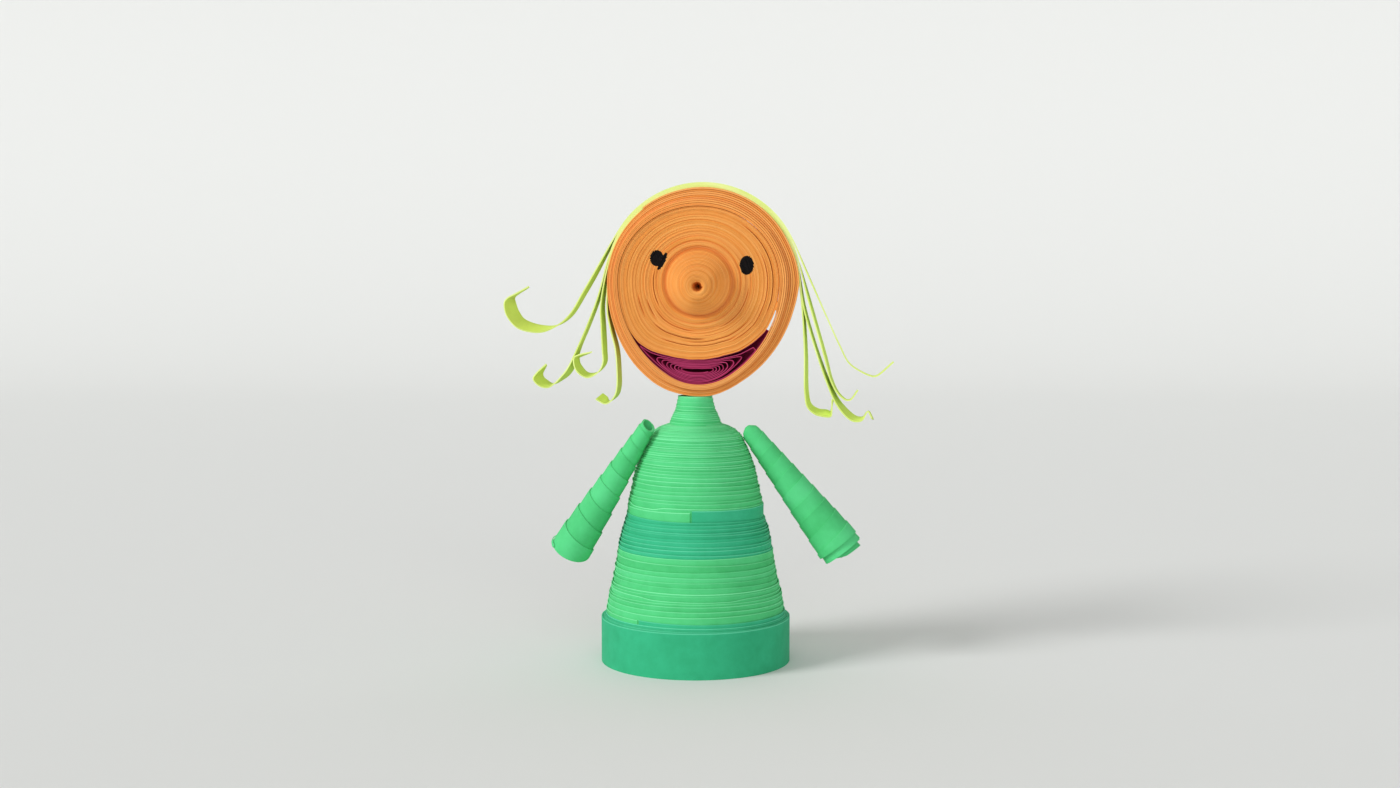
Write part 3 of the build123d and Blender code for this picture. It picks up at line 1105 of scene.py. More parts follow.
    def forward(self, turns: np.ndarray) -> np.ndarray:
        """How far the strip's front edge stands forward.

        Args:
            turns: the places, in turns.

        Returns:
            The distance at each place.
        """
        radii = self.radii(turns)
        slow = waves(turns, self.seeds[0], *self.slow)
        quick = waves(turns, self.seeds[1], *self.quick)
        front = read(self.profile, radii)
        front += self.unevenness * (slow + self.quick_share * quick)
        for slip in self.slips:
            front -= slip.lower(turns, radii, self.paper)
        return front

    def groove_shading(self, turns: np.ndarray) -> np.ndarray:
        """How deep each place lies below the mean of the face a little further in and out, which
        sets its painted groove shade.

        Args:
            turns: the places, in turns.

        Returns:
            The depth, 0 to 1 of a full groove.
        """
        radii = self.radii(turns)
        inner, outer = (read(self.profile, radii + s * self.groove_reach) for s in (-1, 1))
        depth = ((inner + outer) / 2 - self.forward(turns)) / self.groove_depth
        return np.clip(depth, 0, 1) * smoothstep(*self.groove_shade_radii, radii)

    def rows(
        self, turns: np.ndarray, grown: float = 0.0, depth: float | None = None
    ) -> np.ndarray:
        """Sections of the strip, in the row's frame.

        Args:
            turns: the places, in turns.
            grown: how much thicker and further forward than the paper, as for a coat of ink.
            depth: width of the strip, or the whole strip.

        Returns:
            Place, point, coordinate.
        """
        middles = self.middles(turns)
        front = self.forward(turns) + grown
        foot = front - (depth or self.place.strip)
        closed = self.closed * (1 - smoothstep(*self.closing, self.radii(turns)))[:, None]
        backs = middles * (1 - closed) + closed * (0.0, -self.sag[0][1])
        paper = self.fullness * self.paper + 2 * grown
        outward = rays(TURN * turns)
        local = strip_section(middles, outward, front, foot, paper, backs, knee=0.2, edge=0.58)
        return self.place.set(local)

    def build(self, ink: tuple[InkSpot, ...]) -> None:
        """Builds the roll.

        Args:
            ink: dabs of pen whose fringe stains its paper.
        """
        last = self.last_turn()
        turns = np.linspace(0, last, int(last * self.places_a_turn) + 1)
        finish = ORANGE.build(ink, self.place)
        lay_strip("face_coil", finish, self.rows(turns), turns, self.groove_shading(turns))


@dataclass
class Eye:
    """One inked eye: a thin coat on the front edges of the turns that its dabs cross.

    A place of the winding is inked where its middle lies inside a dab's oval. The places
    where the winding enters and leaves are found on a fine count of places, and each
    stretch between them becomes one short bar.

    Fields:
        node: the CAD node that it stands for.
        spots: the dabs of pen.
        coat, depth: how thick the ink lies on the paper, and how wide the coat is.
        fine: how many places of the winding are tried.
        places: how many each bar has.
    """

    node: str
    spots: tuple[InkSpot, ...]
    coat: float = 0.012
    depth: float = 0.3
    fine: int = 180_000
    places: int = 9

    def build(self, face: FaceRoll, finish: bpy.types.Material) -> None:
        """Builds the coat of ink.

        Args:
            face: the face roll that it lies on.
            finish: its material.
        """
        turns = np.linspace(0, face.last_turn(), self.fine)
        right, up = face.middles(turns).T
        reach = np.min([spot.reach(right, up) for spot in self.spots], axis=0)
        crossed = np.diff((reach < 1).astype(int))
        start, end = turns[1:][crossed == 1], turns[1:][crossed == -1]
        along = start[:, None] + (end - start)[:, None] * np.linspace(0, 1, self.places)
        rows = face.rows(along.ravel(), self.coat, self.depth).reshape(*along.shape, 8, 3)
        attach(Bars(rows, along, STRIP_CUT).build(self.node + "_coat"), finish, self.node)


@dataclass
class Egg:
    """An outline of the head: a low half circle above, a wide arc down each cheek, a chin arc.

    A point is given by the direction in which it faces, because an equal distance outwards
    from such an outline keeps each arc's centre and direction and only adds to its radius.

    Fields:
        radius: of the half circle.
        chin_reach: from the middle down to the chin.
        chin_radius: of the chin arc.
        crown: height of the half circle, as a share of its radius.
        right, up: the outline's shift from the middle of the face.
        swell: growth of the outline by the direction it faces, in degrees and millimetres.
    """

    radius: float
    chin_reach: float
    chin_radius: float
    crown: float = 1.0
    right: float = 0.0
    up: float = 0.0
    swell: Table = ((0.0, 0.0), (360.0, 0.0))

    def at(self, direction: np.ndarray, offset: float = 0.0) -> np.ndarray:
        """Points of the outline grown by an offset, by the direction in radians they face.

        The cheek arcs' centres lie level with the middle, so far out on the other side that
        each arc meets both the half circle and the chin arc without a corner.

        Args:
            direction: in which each point faces.
            offset: how much the outline is grown.

        Returns:
            Rows of two coordinates.
        """
        drop = self.chin_reach - self.chin_radius
        slack = self.radius - self.chin_radius
        cheek = (drop**2 - slack**2) / (2 * slack)
        turn = math.atan2(drop, cheek)
        facing, down = np.mod(direction, TURN), 1.5 * math.pi
        crown = facing <= math.pi
        chin = ~crown & (np.abs(facing - down) <= math.pi / 2 - turn)
        left = ~crown & ~chin & (facing < down)
        across = np.select([crown | chin, left], [0.0, cheek], -cheek)
        sizes = [self.radius, self.chin_radius]
        size = np.select([crown, chin], sizes, self.radius + cheek) + offset
        size = size + read(self.swell, np.degrees(facing))
        lift = np.where(chin, -drop, 0.0)
        height = lift + size * np.sin(direction) * np.where(crown, self.crown, 1.0)
        return np.stack([across + size * np.cos(direction) + self.right, height + self.up], axis=-1)

    def distance(self, angle: np.ndarray) -> np.ndarray:
        """Distance from the middle of the face to the outline.

        Args:
            angle: the angles seen from the middle, in radians.

        Returns:
            The distance at each angle.
        """
        outline = self.at(np.linspace(0, TURN, OUTLINE_POINTS, endpoint=False))
        seen = np.arctan2(outline[:, 1], outline[:, 0])
        return np.interp(angle, seen, np.hypot(*outline.T), period=TURN)


INNER_EGG = Egg(12.3, 15.65, 8.35, crown=0.925)
OUTER_EGG = Egg(
    14.2,
    17.5,
    10.1,
    right=0.6,
    up=-0.2,
    swell=(
        (0.0, 0.35), (12.0, 0.2), (25.0, 0.0), (105.0, 0.0), (125.0, 0.12), (145.0, 0.22),
        (170.0, 0.38), (190.0, 0.49), (205.0, 0.63), (220.0, 0.79), (232.0, 0.71), (244.0, 0.25),
        (256.0, -0.03), (268.0, -0.16), (280.0, -0.24), (292.0, -0.43), (304.0, -0.49),
        (318.0, -0.32), (334.0, -0.17), (347.0, 0.0), (360.0, 0.35),
    ),
)


@dataclass
class HeadWraps:
    """The turns around face and mouth: the first ones proud, the others set back.

    The first turn climbs over the step that the end of the face's strip leaves. The others
    wind as a spiral from the outline around face and mouth to the head's own outline: their
    share of the way from one to the other grows evenly with the turns. They lie close, so
    the local distance from turn to turn gives their thickness.

    Fields:
        count: how many turns there are.
        start: the angle of the inner end, in degrees from the viewer's right.
        inset: how far within the two outlines the strip's middle line starts and ends.
        first_pitch: thickness of the first turn.
        fullness: the strip's thickness against the distance from turn to turn.
        proud, setback: how far the inner turns stand forward, and the outer ones back.
        proud_share: the share of the way at which one passes into the other.
        step_start, step_end: how far before and after it that step starts and ends.
        sink: how much further back the last turn lies.
        slow, quick: lowest and highest rates of the waves of its unevenness.
        slow_size, quick_size, seeds: their sizes, and what fixes their draws.
        shade: how much painted shade the groove behind the step gets.
        shade_out: the shares of the way over which it fades.
    """

    place: HeadPlace
    count: float = 9.4
    start: float = 345.0
    inset: float = 0.08
    first_pitch: float = 0.165
    fullness: float = 1.04
    proud: float = 0.1
    setback: float = 0.55
    proud_share: float = 0.36
    step_start: float = 0.05
    step_end: float = 0.08
    sink: float = 0.1
    slow: tuple[float, float] = (0.12, 0.45)
    quick: tuple[float, float] = (1.2, 4.0)
    slow_size: float = 0.06
    quick_size: float = 0.02
    seeds: tuple[int, int] = (31, 32)
    shade: float = 0.6
    shade_out: tuple[float, float] = (0.4, 0.55)
    places_a_turn: int = 120

    def build(self) -> None:
        """Builds the strip."""
        turns = np.linspace(0, self.count, int(self.count * self.places_a_turn))
        direction = TURN * turns + math.radians(self.start)
        way = np.maximum(turns - 1, 0) / (self.count - 1)
        share = way[:, None]
        inner, outer = INNER_EGG.at(direction, self.inset), OUTER_EGG.at(direction, -self.inset)
        pitch = np.linalg.norm(outer - inner, axis=1) / (self.count - 1)
        paper = self.fullness * np.where(turns < 1, self.first_pitch, pitch)
        outward = rays(direction)
        middle = inner * (1 - share) + outer * share
        middle -= outward * (self.first_pitch * np.clip(1 - turns, 0, 1))[:, None]
        step = smoothstep(self.proud_share - self.step_start, self.proud_share + self.step_end, way)
        front = self.proud * (1 - step) - self.setback * step - self.sink * step * way
        front += self.slow_size * waves(turns, self.seeds[0], *self.slow)
        front += self.quick_size * waves(turns, self.seeds[1], *self.quick)
        foot = front - self.place.strip
        local = strip_section(middle, outward, front, foot, paper, knee=0.2, edge=0.7)
        # Painted shade in the groove behind the step, fading out further along the way.
        groove_shading = self.shade * step * (1 - smoothstep(*self.shade_out, way))
        rows = self.place.set(local)
        lay_strip("head_wrap", WRAP_ORANGE.build(), rows, turns, groove_shading)


@dataclass
class Mouth:
    """A roll squeezed into a crescent, its loops drawn out into open corners.

    A place on the strip has a height between the lips, 0 on the face roll and 1 on the
    wraps, and an angle from straight down. Going round a loop, the angle swings between
    the loop's two bends as a cosine, and the height between its two lips as a power of the
    sine: a low power keeps the strip near the lips until close to the bends, a high one
    gives a pointed lens. Towards the back each loop narrows to one further in, which closes
    the hollows.

    Fields:
        start: where the strip's outer end lies, part of a loop before the right corner.
        loops: how many there are.
        bluntness: each loop's power of the sine.
        setback: how far back the outer loop's front edge lies.
        sink: how much further back each loop lies than the one around it.
        narrowed: how much narrower the strip is than the head's.
        uneven, uneven_size, seed: rates of the waves of its front edge, their size, and
            what fixes their draws.
        paper: the strip's thickness.
        full_room: distance between the lips from which it has that thickness.
        thinnest: the least share of it, in the corners.
        closing: how many loops further in the back edge runs than the front one.
        left_bends, right_bends: each loop's bends, in degrees from straight down.
        upper_lip, lower_lip: each loop's heights.
    """

    place: HeadPlace
    face: FaceRoll
    start: float = -0.42
    loops: float = 8.9
    places_a_loop: int = 140
    bluntness: tuple[float, ...] = (0.05, 1.2, 0.8, 0.7, 0.6)
    setback: float = 0.2
    sink: float = 0.03
    narrowed: float = 0.3
    uneven: tuple[float, float] = (0.8, 3.0)
    uneven_size: float = 0.05
    seed: int = 41
    paper: float = 0.135
    full_room: float = 0.6
    thinnest: float = 0.3
    closing: float = 3.2
    left_bends: tuple[float, ...] = (
        51.5, 42.0, 28.2, 24.5, 21.0, 18.3, 15.6, 13.2, 11.2, 9.0, 6.5,
    )
    right_bends: tuple[float, ...] = (
        54.6, 39.6, 29.4, 23.4, 19.0, 16.0, 13.6, 11.4, 9.4, 7.5, 5.0,
    )
    upper_lip: tuple[float, ...] = (
        0.015, 0.055, 0.105, 0.155, 0.2, 0.245, 0.285, 0.325, 0.365, 0.4, 0.44,
    )
    lower_lip: tuple[float, ...] = (
        0.995, 0.955, 0.905, 0.855, 0.8, 0.745, 0.69, 0.64, 0.59, 0.545, 0.5, 0.46,
    )

    def loop_line(self, turns: np.ndarray, inwards: float) -> tuple[np.ndarray, np.ndarray]:
        """The strip's middle line and the room between the lips at each of its places.

        The left bend comes half a loop after the right one, the upper lip a quarter of a
        loop after it, and the lower lip a quarter before, so each is read that much off.

        Args:
            turns: the places, in loops from the right corner.
            inwards: how many loops further in it lies.

        Returns:
            Points, and the distance between face roll and wraps.
        """
        level = turns + inwards
        left = read_loops(self.left_bends, level - 0.5)
        right = read_loops(self.right_bends, level)
        upper = read_loops(self.upper_lip, level - 0.25)
        lower = read_loops(self.lower_lip, level + 0.25)
        angle = np.radians((right - left) / 2 + (right + left) / 2 * np.cos(TURN * turns))
        rise = np.sin(TURN * turns)
        power = read_loops(self.bluntness, np.floor(turns) + inwards)
        bow = np.sign(rise) * np.abs(rise) ** power
        height = (upper + lower) / 2 - bow * (lower - upper) / 2
        direction = angle - math.pi / 2
        near, far = self.face.edge(direction), INNER_EGG.distance(direction)
        return rays(direction) * (near * (1 - height) + far * height)[:, None], far - near

    def build(self) -> None:
        """Builds the squeezed strip, from its outer end to its eye."""
        places = int((self.loops - self.start) * self.places_a_loop) + 1
        turns = np.linspace(self.start, self.loops, places)
        middle, room = self.loop_line(turns, 0.0)
        back, _ = self.loop_line(turns, self.closing)
        uneven = self.uneven_size * waves(turns, self.seed, *self.uneven)
        front = -self.setback - self.sink * turns + uneven
        foot = front - self.place.strip + self.narrowed
        paper = self.paper * np.clip(room / self.full_room, self.thinnest, 1.0)
        side = sideways(middle)
        local = strip_section(middle, side, front, foot, paper, back, knee=2.4, lean=2.0)
        lay_strip("mouth_coil", MAGENTA.build(), self.place.set(local), turns)


@dataclass(frozen=True)
class Lock:
    """One strip of hair, glued over the crown, with a curl at each end.

    Fields:
        node: the CAD node that it stands for.
        layer: 0 for the strip on the wraps, counted outwards.
        left, right: where each end leaves the crown, in degrees from the viewer's right.
        left_end, right_end: the points that each end's front edge passes, right and up from
            the middle of the face, and how far right and up of it the back edge lies.
    """

    node: str
    layer: int
    left: float
    right: float
    left_end: Knots
    right_end: Knots


@dataclass
class Hair:
    """Four narrow strips, one on another over the crown.

    A strip's front edge is a smooth line through its crown arc and the points of its two
    ends. From there its width runs straight back on the crown, and leans as the knots say
    along the ends.

    Fields:
        strip, paper: width and thickness of the strips.
        crown_radius, crown_shift, crown_drop: the crown's arc under the lowest strip, and how
            far its middle lies right of and below the middle of the face.
        crown_knots, per_span: knots of that arc, and points from knot to knot.
        step, easing: distance between the places, and how far corners are rounded.
        tone_length: millimetres of strip that count as a turn in the paper's tone.
        locks: the strips, from the topmost to the lowest.
    """

    place: HeadPlace
    strip: float = 3.0
    paper: float = 0.2
    crown_radius: float = 14.2
    crown_shift: float = 0.6
    crown_drop: float = 0.2
    crown_knots: int = 11
    per_span: int = 14
    step: float = 0.1
    easing: float = 0.3
    tone_length: float = 12.0
    locks: tuple[Lock, ...] = (
        Lock(
            "hair_strip_1",
            3,
            150.0,
            25.5,
            (
                (-15.8, 1.3, 0.17, -0.33), (-17.6, -1.8, 0.15, -0.36), (-19.6, -5.1, -0.02, -0.35),
                (-21.4, -6.7, -0.39, -0.12), (-24.1, -7.8, -0.32, 0.97), (-27.4, -7.25, 0.54, 1.33),
                (-28.9, -5.8, 1.22, 0.99), (-29.45, -4.6, 1.52, 0.30), (-29.55, -3.3, 1.36, -0.18),
                (-29.1, -2.65, 0.72, -0.17), (-28.1, -2.1, -0.12, -0.27),
                (-25.75, -0.85, -0.39, -0.15),
            ),
            (
                (15.7, 2.4, 0.12, -0.02), (17.6, -1.8, 0.09, -0.06), (19.4, -5.8, 0.09, -0.11),
                (21.2, -9.7, 0.11, -0.15), (22.6, -12.3, 0.12, -0.15), (24.4, -13.6, 0.14, -0.15),
                (26.3, -14.35, 0.13, -0.12), (26.9, -14.2, 0.14, -0.12),
                (29.3, -12.15, 0.14, -0.10),
            ),
        ),
        Lock(
            "hair_strip_2",
            2,
            165.0,
            13.0,
            (
                (-15.2, -2.1, 0.12, -0.17), (-16.8, -6.4, 0.11, -0.22), (-18.1, -9.4, 0.09, -0.30),
                (-20, -13.3, 0.32, -0.69), (-21.1, -14.7, -0.04, -0.51), (-22, -15.6, -0.40, -0.22),
                (-23, -16.2, -0.31, 0.83), (-24.3, -15.95, 0.32, 1.13), (-25.25, -14.9, 1.16, 0.79),
                (-24.8, -14.1, 0.87, 0.40), (-24, -13.3, 0.23, -0.09), (-23.2, -12.6, -0.31, -0.28),
            ),
            (
                (16.3, -2.3, 0.32, 0.01), (17.6, -6.9, 0.39, -0.02), (18.9, -11.4, 0.40, -0.05),
                (19.9, -15, 0.36, -0.06), (21, -17, 0.26, -0.08), (22.3, -17.95, 0.12, -0.14),
                (22.9, -17.85, 0.10, -0.16), (24, -16.4, 0.06, -0.18),
            ),
        ),
        Lock(
            "hair_strip_3",
            1,
            166.0,
            10.5,
            (
                (-14.85, -3.4, 0.28, -0.08), (-14.8, -7, 0.38, -0.12), (-14.65, -10.3, 0.38, -0.16),
                (-14.6, -12.4, 0.28, -0.18), (-15.2, -13.7, -0.23, -0.20),
                (-16.3, -14.5, -0.34, 0.29), (-17.1, -14.65, -0.20, 0.64),
                (-18.4, -13.9, 0.44, 0.55), (-19, -12.7, 0.58, 0.11), (-18.95, -11.6, 0.43, -0.22),
                (-18.2, -11.2, -0.16, -0.47), (-16.2, -10.75, -0.34, -0.16),
            ),
            (
                (15.7, -3.7, 0.32, -0.04), (16.8, -7.9, 0.38, -0.05), (18.1, -12, 0.44, -0.06),
                (19.4, -15.6, 0.51, 0.08), (20.6, -18.3, 0.62, 0.25), (22.1, -20.3, 0.69, 0.48),
                (23.3, -21.1, 0.60, 0.47), (24.6, -21, 0.32, 0.32), (25.2, -20, 0.22, -0.02),
                (25.5, -19.6, 0.28, -0.21), (26.1, -20.7, 0.38, -0.42),
            ),
        ),
        Lock(
            "hair_strip_4",
            0,
            176.0,
            7.0,
            (
                (-13.9, -4.4, 0.09, -0.09), (-13.4, -7.3, 0.29, -0.18), (-12.7, -10.3, 0.35, -0.16),
                (-12.45, -13.2, 0.35, -0.19), (-12.45, -16, 0.35, -0.22),
                (-12.75, -17.3, 0.20, -0.24), (-13.5, -18.3, -0.31, -0.15),
                (-14.25, -18.65, 0.18, 0.65), (-15.7, -17.95, 0.77, 0.66),
            ),
            (
                (15.55, -4.3, 0.32, -0.09), (15.9, -10.5, 0.47, -0.16), (16, -16.9, 0.57, -0.13),
                (16.4, -19, 0.63, 0.19), (17.5, -20.05, 0.64, 0.53), (19, -20.45, 0.35, 0.78),
                (19.95, -20.4, -0.04, 0.53), (20.05, -19.8, -0.03, 0.04),
                (20.1, -17.8, 0.27, -0.24),
            ),
        ),
    )

    def knots(self, lock: Lock) -> np.ndarray:
        """A strip's knots from its left tip over the crown to its right tip.

        Args:
            lock: the strip.

        Returns:
            Rows of right and up of the front edge, and of the back edge from there.
        """
        radius = self.crown_radius + self.paper * (lock.layer + 0.5)
        angles = np.radians(np.linspace(lock.left, lock.right, self.crown_knots))
        across = self.crown_shift + radius * np.cos(angles)
        height, straight = radius * np.sin(angles) - self.crown_drop, 0 * angles
        crown = np.stack([across, height, straight, straight], axis=1)
        return np.vstack([np.array(lock.left_end)[::-1], crown, np.array(lock.right_end)])

    def corners(self, line: np.ndarray) -> np.ndarray:
        """Four corners of the strip at each place of its line.

        The width's run to the back is what the strip's own width leaves beside its lean to
        the right and up. The thickness stands at a right angle to travel and width.

        Args:
            line: rows of coordinates like the knots'.

        Returns:
            Place, corner, coordinate.
        """
        lean = line[:, 2:]
        back = -np.sqrt(self.strip**2 - (lean**2).sum(axis=1))
        width = np.column_stack([lean, back])
        level = np.full(len(line), -(self.place.strip - self.strip) / 2)
        front = np.column_stack([line[:, :2], level])
        flat = np.cross(np.gradient(front, axis=0), width)
        half = self.paper / 2 * flat / np.linalg.norm(flat, axis=1, keepdims=True)
        return np.stack([front + half, front + width + half, front + width - half, front - half], 1)

    def build(self) -> None:
        """Builds the four strips."""
        finish = LIME.build()
        for lock in self.locks:
            line = eased(spline(self.knots(lock), self.per_span), self.step, self.easing)
            along = run_along(line) / self.tone_length
            bars = Bars(self.place.set(self.corners(line))[None], along[None], RIBBON_CUT)
            attach(bars.build(lock.node + "_ribbon"), finish, lock.node)


# Arms


@dataclass
class Arm:
    """One arm: a strip wrapped at a slant into a hollow cone, each turn over the one above.

    Along the arm's axis, a turn's lower edge climbs by the pitch, which shrinks towards the
    narrow end. A point of the strip lies on the cone, plus a lift that grows from the
    strip's lower edge to its upper one, so that each turn's upper edge laps the next turn.

    Fields:
        node: the CAD node that it stands for.
        side: -1 for the viewer's left, 1 for the right.
        winding: which way the wrap climbs.
        top: the middle of the narrow end.
        spread, swing: degrees that the wide end lies out from the narrow one, and behind it.
        length, top_radius, end_radius: of the cone.
        closed: length over which the narrow end rounds off to a closed tip.
        end_cut: how the wide end is cut: its height on the right, at the back and on average.
        top_cut: the same for the narrow end, counted down from the arm's length.
        start: the angle at which a turn starts, in degrees from the right.
        strip, paper, lift: width and thickness of the strip, and how far it laps out.
        across: how many points the strip has across its width.
        wide_pitch, narrow_pitch: how far a turn climbs at the two ends.
        first: the share of the strip's width that lies below the wide end where it starts.
        last: how much of a turn it stops short of the narrow end.
        fray, frayed, seed: how unevenly the upper edge is cut, its lowest and highest rates,
            and what fixes their draws.
        least: the least width that the cuts leave.
        tip: how narrow the cone may get.
        tip_share: the share of a closed tip's height at which its radius stays.
        collars: how far the edge of the further turns inside the wide end stands out, by
            turns from the right.
        collar_height, collar_gap, collar_pitch: how far those turns reach in, how far they
            lie inside the wrap, and what one of them adds, in thicknesses.
        collar_drop, dropping: how much further in the later ones lie, and where that starts
            and ends.
        collar_tone: turns by which their tone is ahead of the wrap's.
    """

    node: str
    side: int
    winding: Winding
    top: Point
    swing: float
    end_cut: Point = (0.0, 0.0, 0.0)
    top_cut: Point = (0.0, 0.0, 0.0)
    closed: float = 0.0
    collars: Table = ()
    spread: float = 32.5
    length: float = 23.3
    top_radius: float = 1.15
    end_radius: float = 3.35
    strip: float = 5.2
    wide_pitch: float = 3.2
    narrow_pitch: float = 1.9
    paper: float = 0.13
    lift: float = 0.34
    start: float = 0.0
    seed: int = 61
    places_a_turn: int = 72
    across: int = 9
    first: float = 0.95
    last: float = 0.1
    fray: float = 0.12
    frayed: tuple[float, float] = (0.5, 2.0)
    least: float = 0.02
    tip: float = 0.1
    tip_share: float = 0.985
    collar_height: float = 2.2
    collar_gap: float = 0.05
    collar_pitch: float = 1.04
    collar_drop: float = 0.45
    dropping: tuple[float, float] = (1.0, 1.5)
    collar_tone: float = 40.0

    @property
    def fall(self) -> float:
        """How much of the pitch is lost for each millimetre of height."""
        return (self.wide_pitch - self.narrow_pitch) / self.length

    def lower_edge(self, turns: np.ndarray) -> np.ndarray:
        """Height of the strip's lower edge: climbs by the wide pitch and slows down evenly.

        With the pitch falling in proportion to the height, the height is an exponential
        that levels out where the pitch would reach nothing.
        """
        return self.wide_pitch / self.fall * (1 - np.exp(-self.fall * turns))

    def angle(self, turns: np.ndarray) -> np.ndarray:
        """Angle around the arm at each place, in radians."""
        return self.winding.value * TURN * turns + math.radians(self.start)

    @staticmethod
    def slanted(cut: Point, angle: np.ndarray) -> np.ndarray:
        """Height of a flat, tilted cut around the arm."""
        right, back, average = cut
        return right * np.cos(angle) + back * np.sin(angle) + average

    def cone(self, height: np.ndarray) -> np.ndarray:
        """Radius of the cone at a height, drawn in to nearly nothing over a closed tip.

        The tip follows an ellipse: the root of 1 less the square of the share risen in it.

        Args:
            height: from the wide end.

        Returns:
            The radius at each height.
        """
        radius = self.end_radius + (self.top_radius - self.end_radius) * height / self.length
        if self.closed:
            risen = (height - self.length + self.closed) / self.closed
            radius = radius * np.sqrt(1 - np.clip(risen, 0, self.tip_share) ** 2)
        return radius

    def set(self, points: np.ndarray) -> np.ndarray:
        """Moves points from the arm's own frame to its place at the shoulder.

        Args:
            points: across, back and up from the wide end, in the last axis.

        Returns:
            The same points in the row's frame.
        """
        x, y, z = np.moveaxis(points, -1, 0)
        x, z = rotated(x, z - self.length, self.side * math.radians(self.spread))
        y, z = rotated(y, z, math.radians(self.swing))
        return np.stack([x, y, z], axis=-1) + np.array(self.top)

    def sheet(self, angle: np.ndarray, height: np.ndarray, radius: np.ndarray) -> np.ndarray:
        """Sections of a strip: up along its outer face and back down along the other.

        Args:
            angle: around the arm, of each place.
            height: of each place's points across the strip's width.
            radius: of the same points.

        Returns:
            Place, point, coordinate, in the row's frame.
        """
        outward = rays(angle)[:, None]
        front, back = (
            np.concatenate([outward * (radius + offset)[:, :, None], height[:, :, None]], axis=2)
            for offset in (self.paper / 2, -self.paper / 2)
        )
        return self.set(np.concatenate([front, back[:, ::-1]], axis=1))

    def wrap(self, turns: np.ndarray) -> np.ndarray:
        """The slanting wrap that makes the cone.

        Args:
            turns: the places, in turns.

        Returns:
            Its sections.
        """
        angle, low = self.angle(turns), self.lower_edge(turns)
        upper = low + self.strip + self.fray * waves(turns, self.seed, *self.frayed)
        foot = self.slanted(self.end_cut, angle)
        head = self.length - self.slanted(self.top_cut, angle)
        lower = np.clip(low, foot, head - self.least)
        width = np.clip(upper, foot + self.least, head) - lower
        height = lower[:, None] + width[:, None] * np.linspace(0, 1, self.across)
        share = (height - low[:, None]) / self.strip
        radius = np.maximum(self.cone(height) + self.lift * (share - 1), self.tip)
        return self.sheet(angle, height, radius)

    def collar(self, turns: np.ndarray) -> np.ndarray:
        """The further turns inside the wide end, each with its own edge.

        Args:
            turns: the places, in turns.

        Returns:
            Their sections.
        """
        angle = self.angle(turns)
        foot = self.slanted(self.end_cut, angle) - read(self.collars, turns)
        height = foot[:, None] + np.linspace(0, self.collar_height, self.across)
        inwards = self.lift + self.collar_gap + self.collar_pitch * self.paper * turns
        inwards = inwards + self.collar_drop * smoothstep(*self.dropping, turns)
        return self.sheet(angle, height, self.cone(height) - inwards[:, None])

    def build(self) -> None:
        """Builds the wrap, and the collars beside it in the same mesh.

        The wrap ends where its lower edge reaches the arm's length.
        """
        first = -self.strip / self.wide_pitch * self.first
        last = -math.log(1 - self.length * self.fall / self.wide_pitch) / self.fall - self.last
        turns = np.linspace(first, last, int((last - first) * self.places_a_turn))
        bars, along = [self.wrap(turns)], [turns]
        if self.collars:
            inner = np.linspace(0, self.collars[-1][0], len(turns))
            bars.append(self.collar(inner))
            along.append(inner + self.collar_tone)
        cut = 2 * ((self.across - 1) * (0.0,) + (1.0,))
        piece = Bars(np.stack(bars), np.stack(along), cut).build(self.node + "_strip")
        attach(piece, LIGHT_GREEN.build(), self.node)


# Studio


@dataclass(frozen=True)
class Lamp:
    """One far, soft lamp.

    Fields:
        name: the lamp's name.
        eye: where it shines from.
        softness: degrees that it covers in the sky.
        strength: of its light.
    """

    name: str
    eye: Point
    softness: float
    strength: float


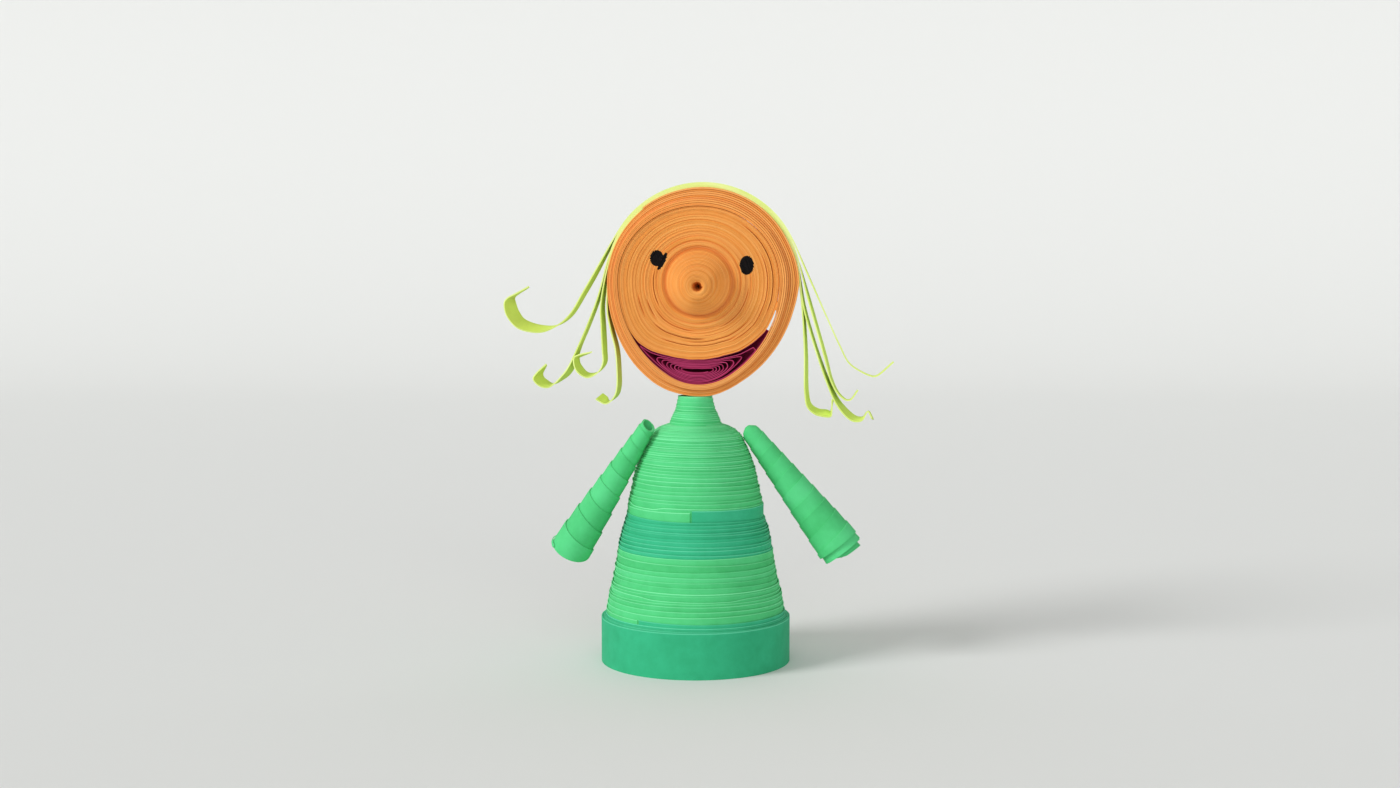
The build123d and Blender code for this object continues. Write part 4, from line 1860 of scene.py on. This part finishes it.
@dataclass
class Studio:
    """Plain pale floor that curves up into a backdrop, soft lamps and the camera.

    Fields:
        eye, target, lens: where the camera stands, what it looks at, and its focal length.
        sensor, nearest: width of its sensor, and the nearest that it sees, in metres.
        lamps, lit: the lamps, and the point they are turned to.
        sky: strength of the light from all around.
        floor_tone: colour of floor and backdrop.
        floor_start, floor_end: the level floor's nearest and furthest depth.
        bend: radius of the curve from floor to backdrop.
        wall: height of the backdrop.
        half_width: of both.
        level_rows, bend_rows: points along the level floor and the curve.
    """

    eye: Point = (0.7, -270.0, 62.0)
    target: Point = (0.7, 0.0, 40.8)
    lens: float = 45.77
    sensor: float = 36.0
    nearest: float = 0.01
    lamps: tuple[Lamp, ...] = (
        Lamp("key_lamp", (-500, -260, 380), 24, 1.9),
        Lamp("fill_lamp", (60, -600, 220), 50, 0.95),
    )
    lit: Point = (0, 0, 38)
    sky: float = 0.42
    floor_tone: Screen = (224, 225, 223)
    floor_start: float = -1500.0
    floor_end: float = 500.0
    bend: float = 400.0
    wall: float = 2000.0
    half_width: float = 2200.0
    level_rows: int = 12
    bend_rows: int = 24

    def floor(self) -> None:
        """Builds the sweep: level, then a quarter circle, then upright."""
        level = np.linspace(self.floor_start, self.floor_end, self.level_rows)
        turn = np.linspace(0, math.pi / 2, self.bend_rows)
        curve = self.floor_end + self.bend * np.sin(turn[1:])
        depth = np.concatenate([level, curve, [self.floor_end + self.bend]])
        height = np.concatenate([0 * level, self.bend - self.bend * np.cos(turn[1:]), [self.wall]])
        left = np.column_stack([np.full(len(depth), -self.half_width), depth, height])
        grid = np.stack([left, left * (-1, 1, 1)], axis=1)
        number = np.arange(len(depth) * 2).reshape(-1, 2)
        near, far = number[:-1], number[1:]
        faces = np.stack([near[:, 0], near[:, 1], far[:, 1], far[:, 0]], axis=1)
        mesh = fill_mesh("studio_floor", grid, faces.tolist())
        card = Tree("studio_card").matt(linear(*self.floor_tone), rough=0.9, specular=0.1)
        mesh.materials.append(card)
        add_object("studio_floor", mesh)

    @staticmethod
    def aim(thing: bpy.types.Object, eye: Point, target: Point) -> None:
        """Stands a lamp or camera at one point and turns it to another."""
        thing.location = Vector(eye) * METRES
        thing.rotation_euler = (Vector(target) - Vector(eye)).to_track_quat("-Z", "Y").to_euler()

    def light(self, lamp: Lamp) -> None:
        """Adds a lamp that lights doll, floor and backdrop alike.

        Args:
            lamp: what to add.
        """
        light = bpy.data.lights.new(lamp.name, "SUN")
        light.angle = math.radians(lamp.softness)
        light.energy = lamp.strength
        self.aim(add_object(lamp.name, light), lamp.eye, self.lit)

    def world(self) -> None:
        """Lights everything evenly from all around."""
        world = bpy.data.worlds.new("studio_world")
        world.use_nodes = True
        inputs = world.node_tree.nodes["Background"].inputs
        inputs["Color"].default_value = (1, 1, 1, 1)
        inputs["Strength"].default_value = self.sky
        bpy.context.scene.world = world

    def camera(self) -> None:
        """Stands the camera at the photograph's viewing angle."""
        camera = bpy.data.cameras.new("camera")
        camera.lens = self.lens
        camera.sensor_width = self.sensor
        camera.clip_start = self.nearest
        view = add_object("camera", camera)
        self.aim(view, self.eye, self.target)
        bpy.context.scene.camera = view

    def build(self) -> None:
        """Builds the floor, lamps, world and camera."""
        self.floor()
        for lamp in self.lamps:
            self.light(lamp)
        self.world()
        self.camera()
        bpy.context.scene.view_settings.view_transform = "Standard"


# The doll


LEFT_EYE = (InkSpot(-6.28, 3.42, 1.0, 1.2, 6.0), InkSpot(-5.45, 2.95, 0.4, 1.45, 27.0))
RIGHT_EYE = (InkSpot(7.22, 2.35, 1.05, 1.42),)
LEFT_ARM = Arm(
    "left_arm_roll",
    side=-1,
    winding=Winding.CLOCKWISE,
    top=(-6.9, -3.6, 36.6),
    swing=9.0,
    end_cut=(0.3, 0.9, 0.6),
    top_cut=(0.2, -0.4, 0.3),
    start=20.0,
    spread=31.6,
    length=23.65,
    end_radius=3.2,
)
RIGHT_ARM = Arm(
    "right_arm_roll",
    side=1,
    winding=Winding.COUNTERCLOCKWISE,
    top=(7.75, -0.8, 35.9),
    swing=-6.0,
    end_cut=(0.0, 0.0, 0.6),
    closed=1.3,
    collars=(
        (0.5, 1.15), (1.0, 1.25), (1.4, 0.5), (1.6, 0.95), (1.75, 1.85), (2.0, 2.1), (2.3, 2.1),
    ),
    spread=37.8,
    top_radius=1.3,
    end_radius=3.5,
    wide_pitch=2.5,
    lift=0.3,
    seed=62,
)


def main() -> None:
    """Builds the doll piece by piece, then its studio."""
    logging.basicConfig(level=logging.INFO, format="%(message)s")
    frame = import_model()
    LOG.info("%d CAD nodes to dress", len(frame["nodes"]))
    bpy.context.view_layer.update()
    DressRoll().build()
    place = HeadPlace()
    face = FaceRoll(place)
    face.build(LEFT_EYE + RIGHT_EYE)
    ink = Ink().build()
    Eye("left_eye_ink", LEFT_EYE).build(face, ink)
    Eye("right_eye_ink", RIGHT_EYE).build(face, ink)
    HeadWraps(place).build()
    Mouth(place, face).build()
    Hair(place).build()
    LEFT_ARM.build()
    RIGHT_ARM.build()
    Studio().build()


if __name__ == "__main__":
    main()
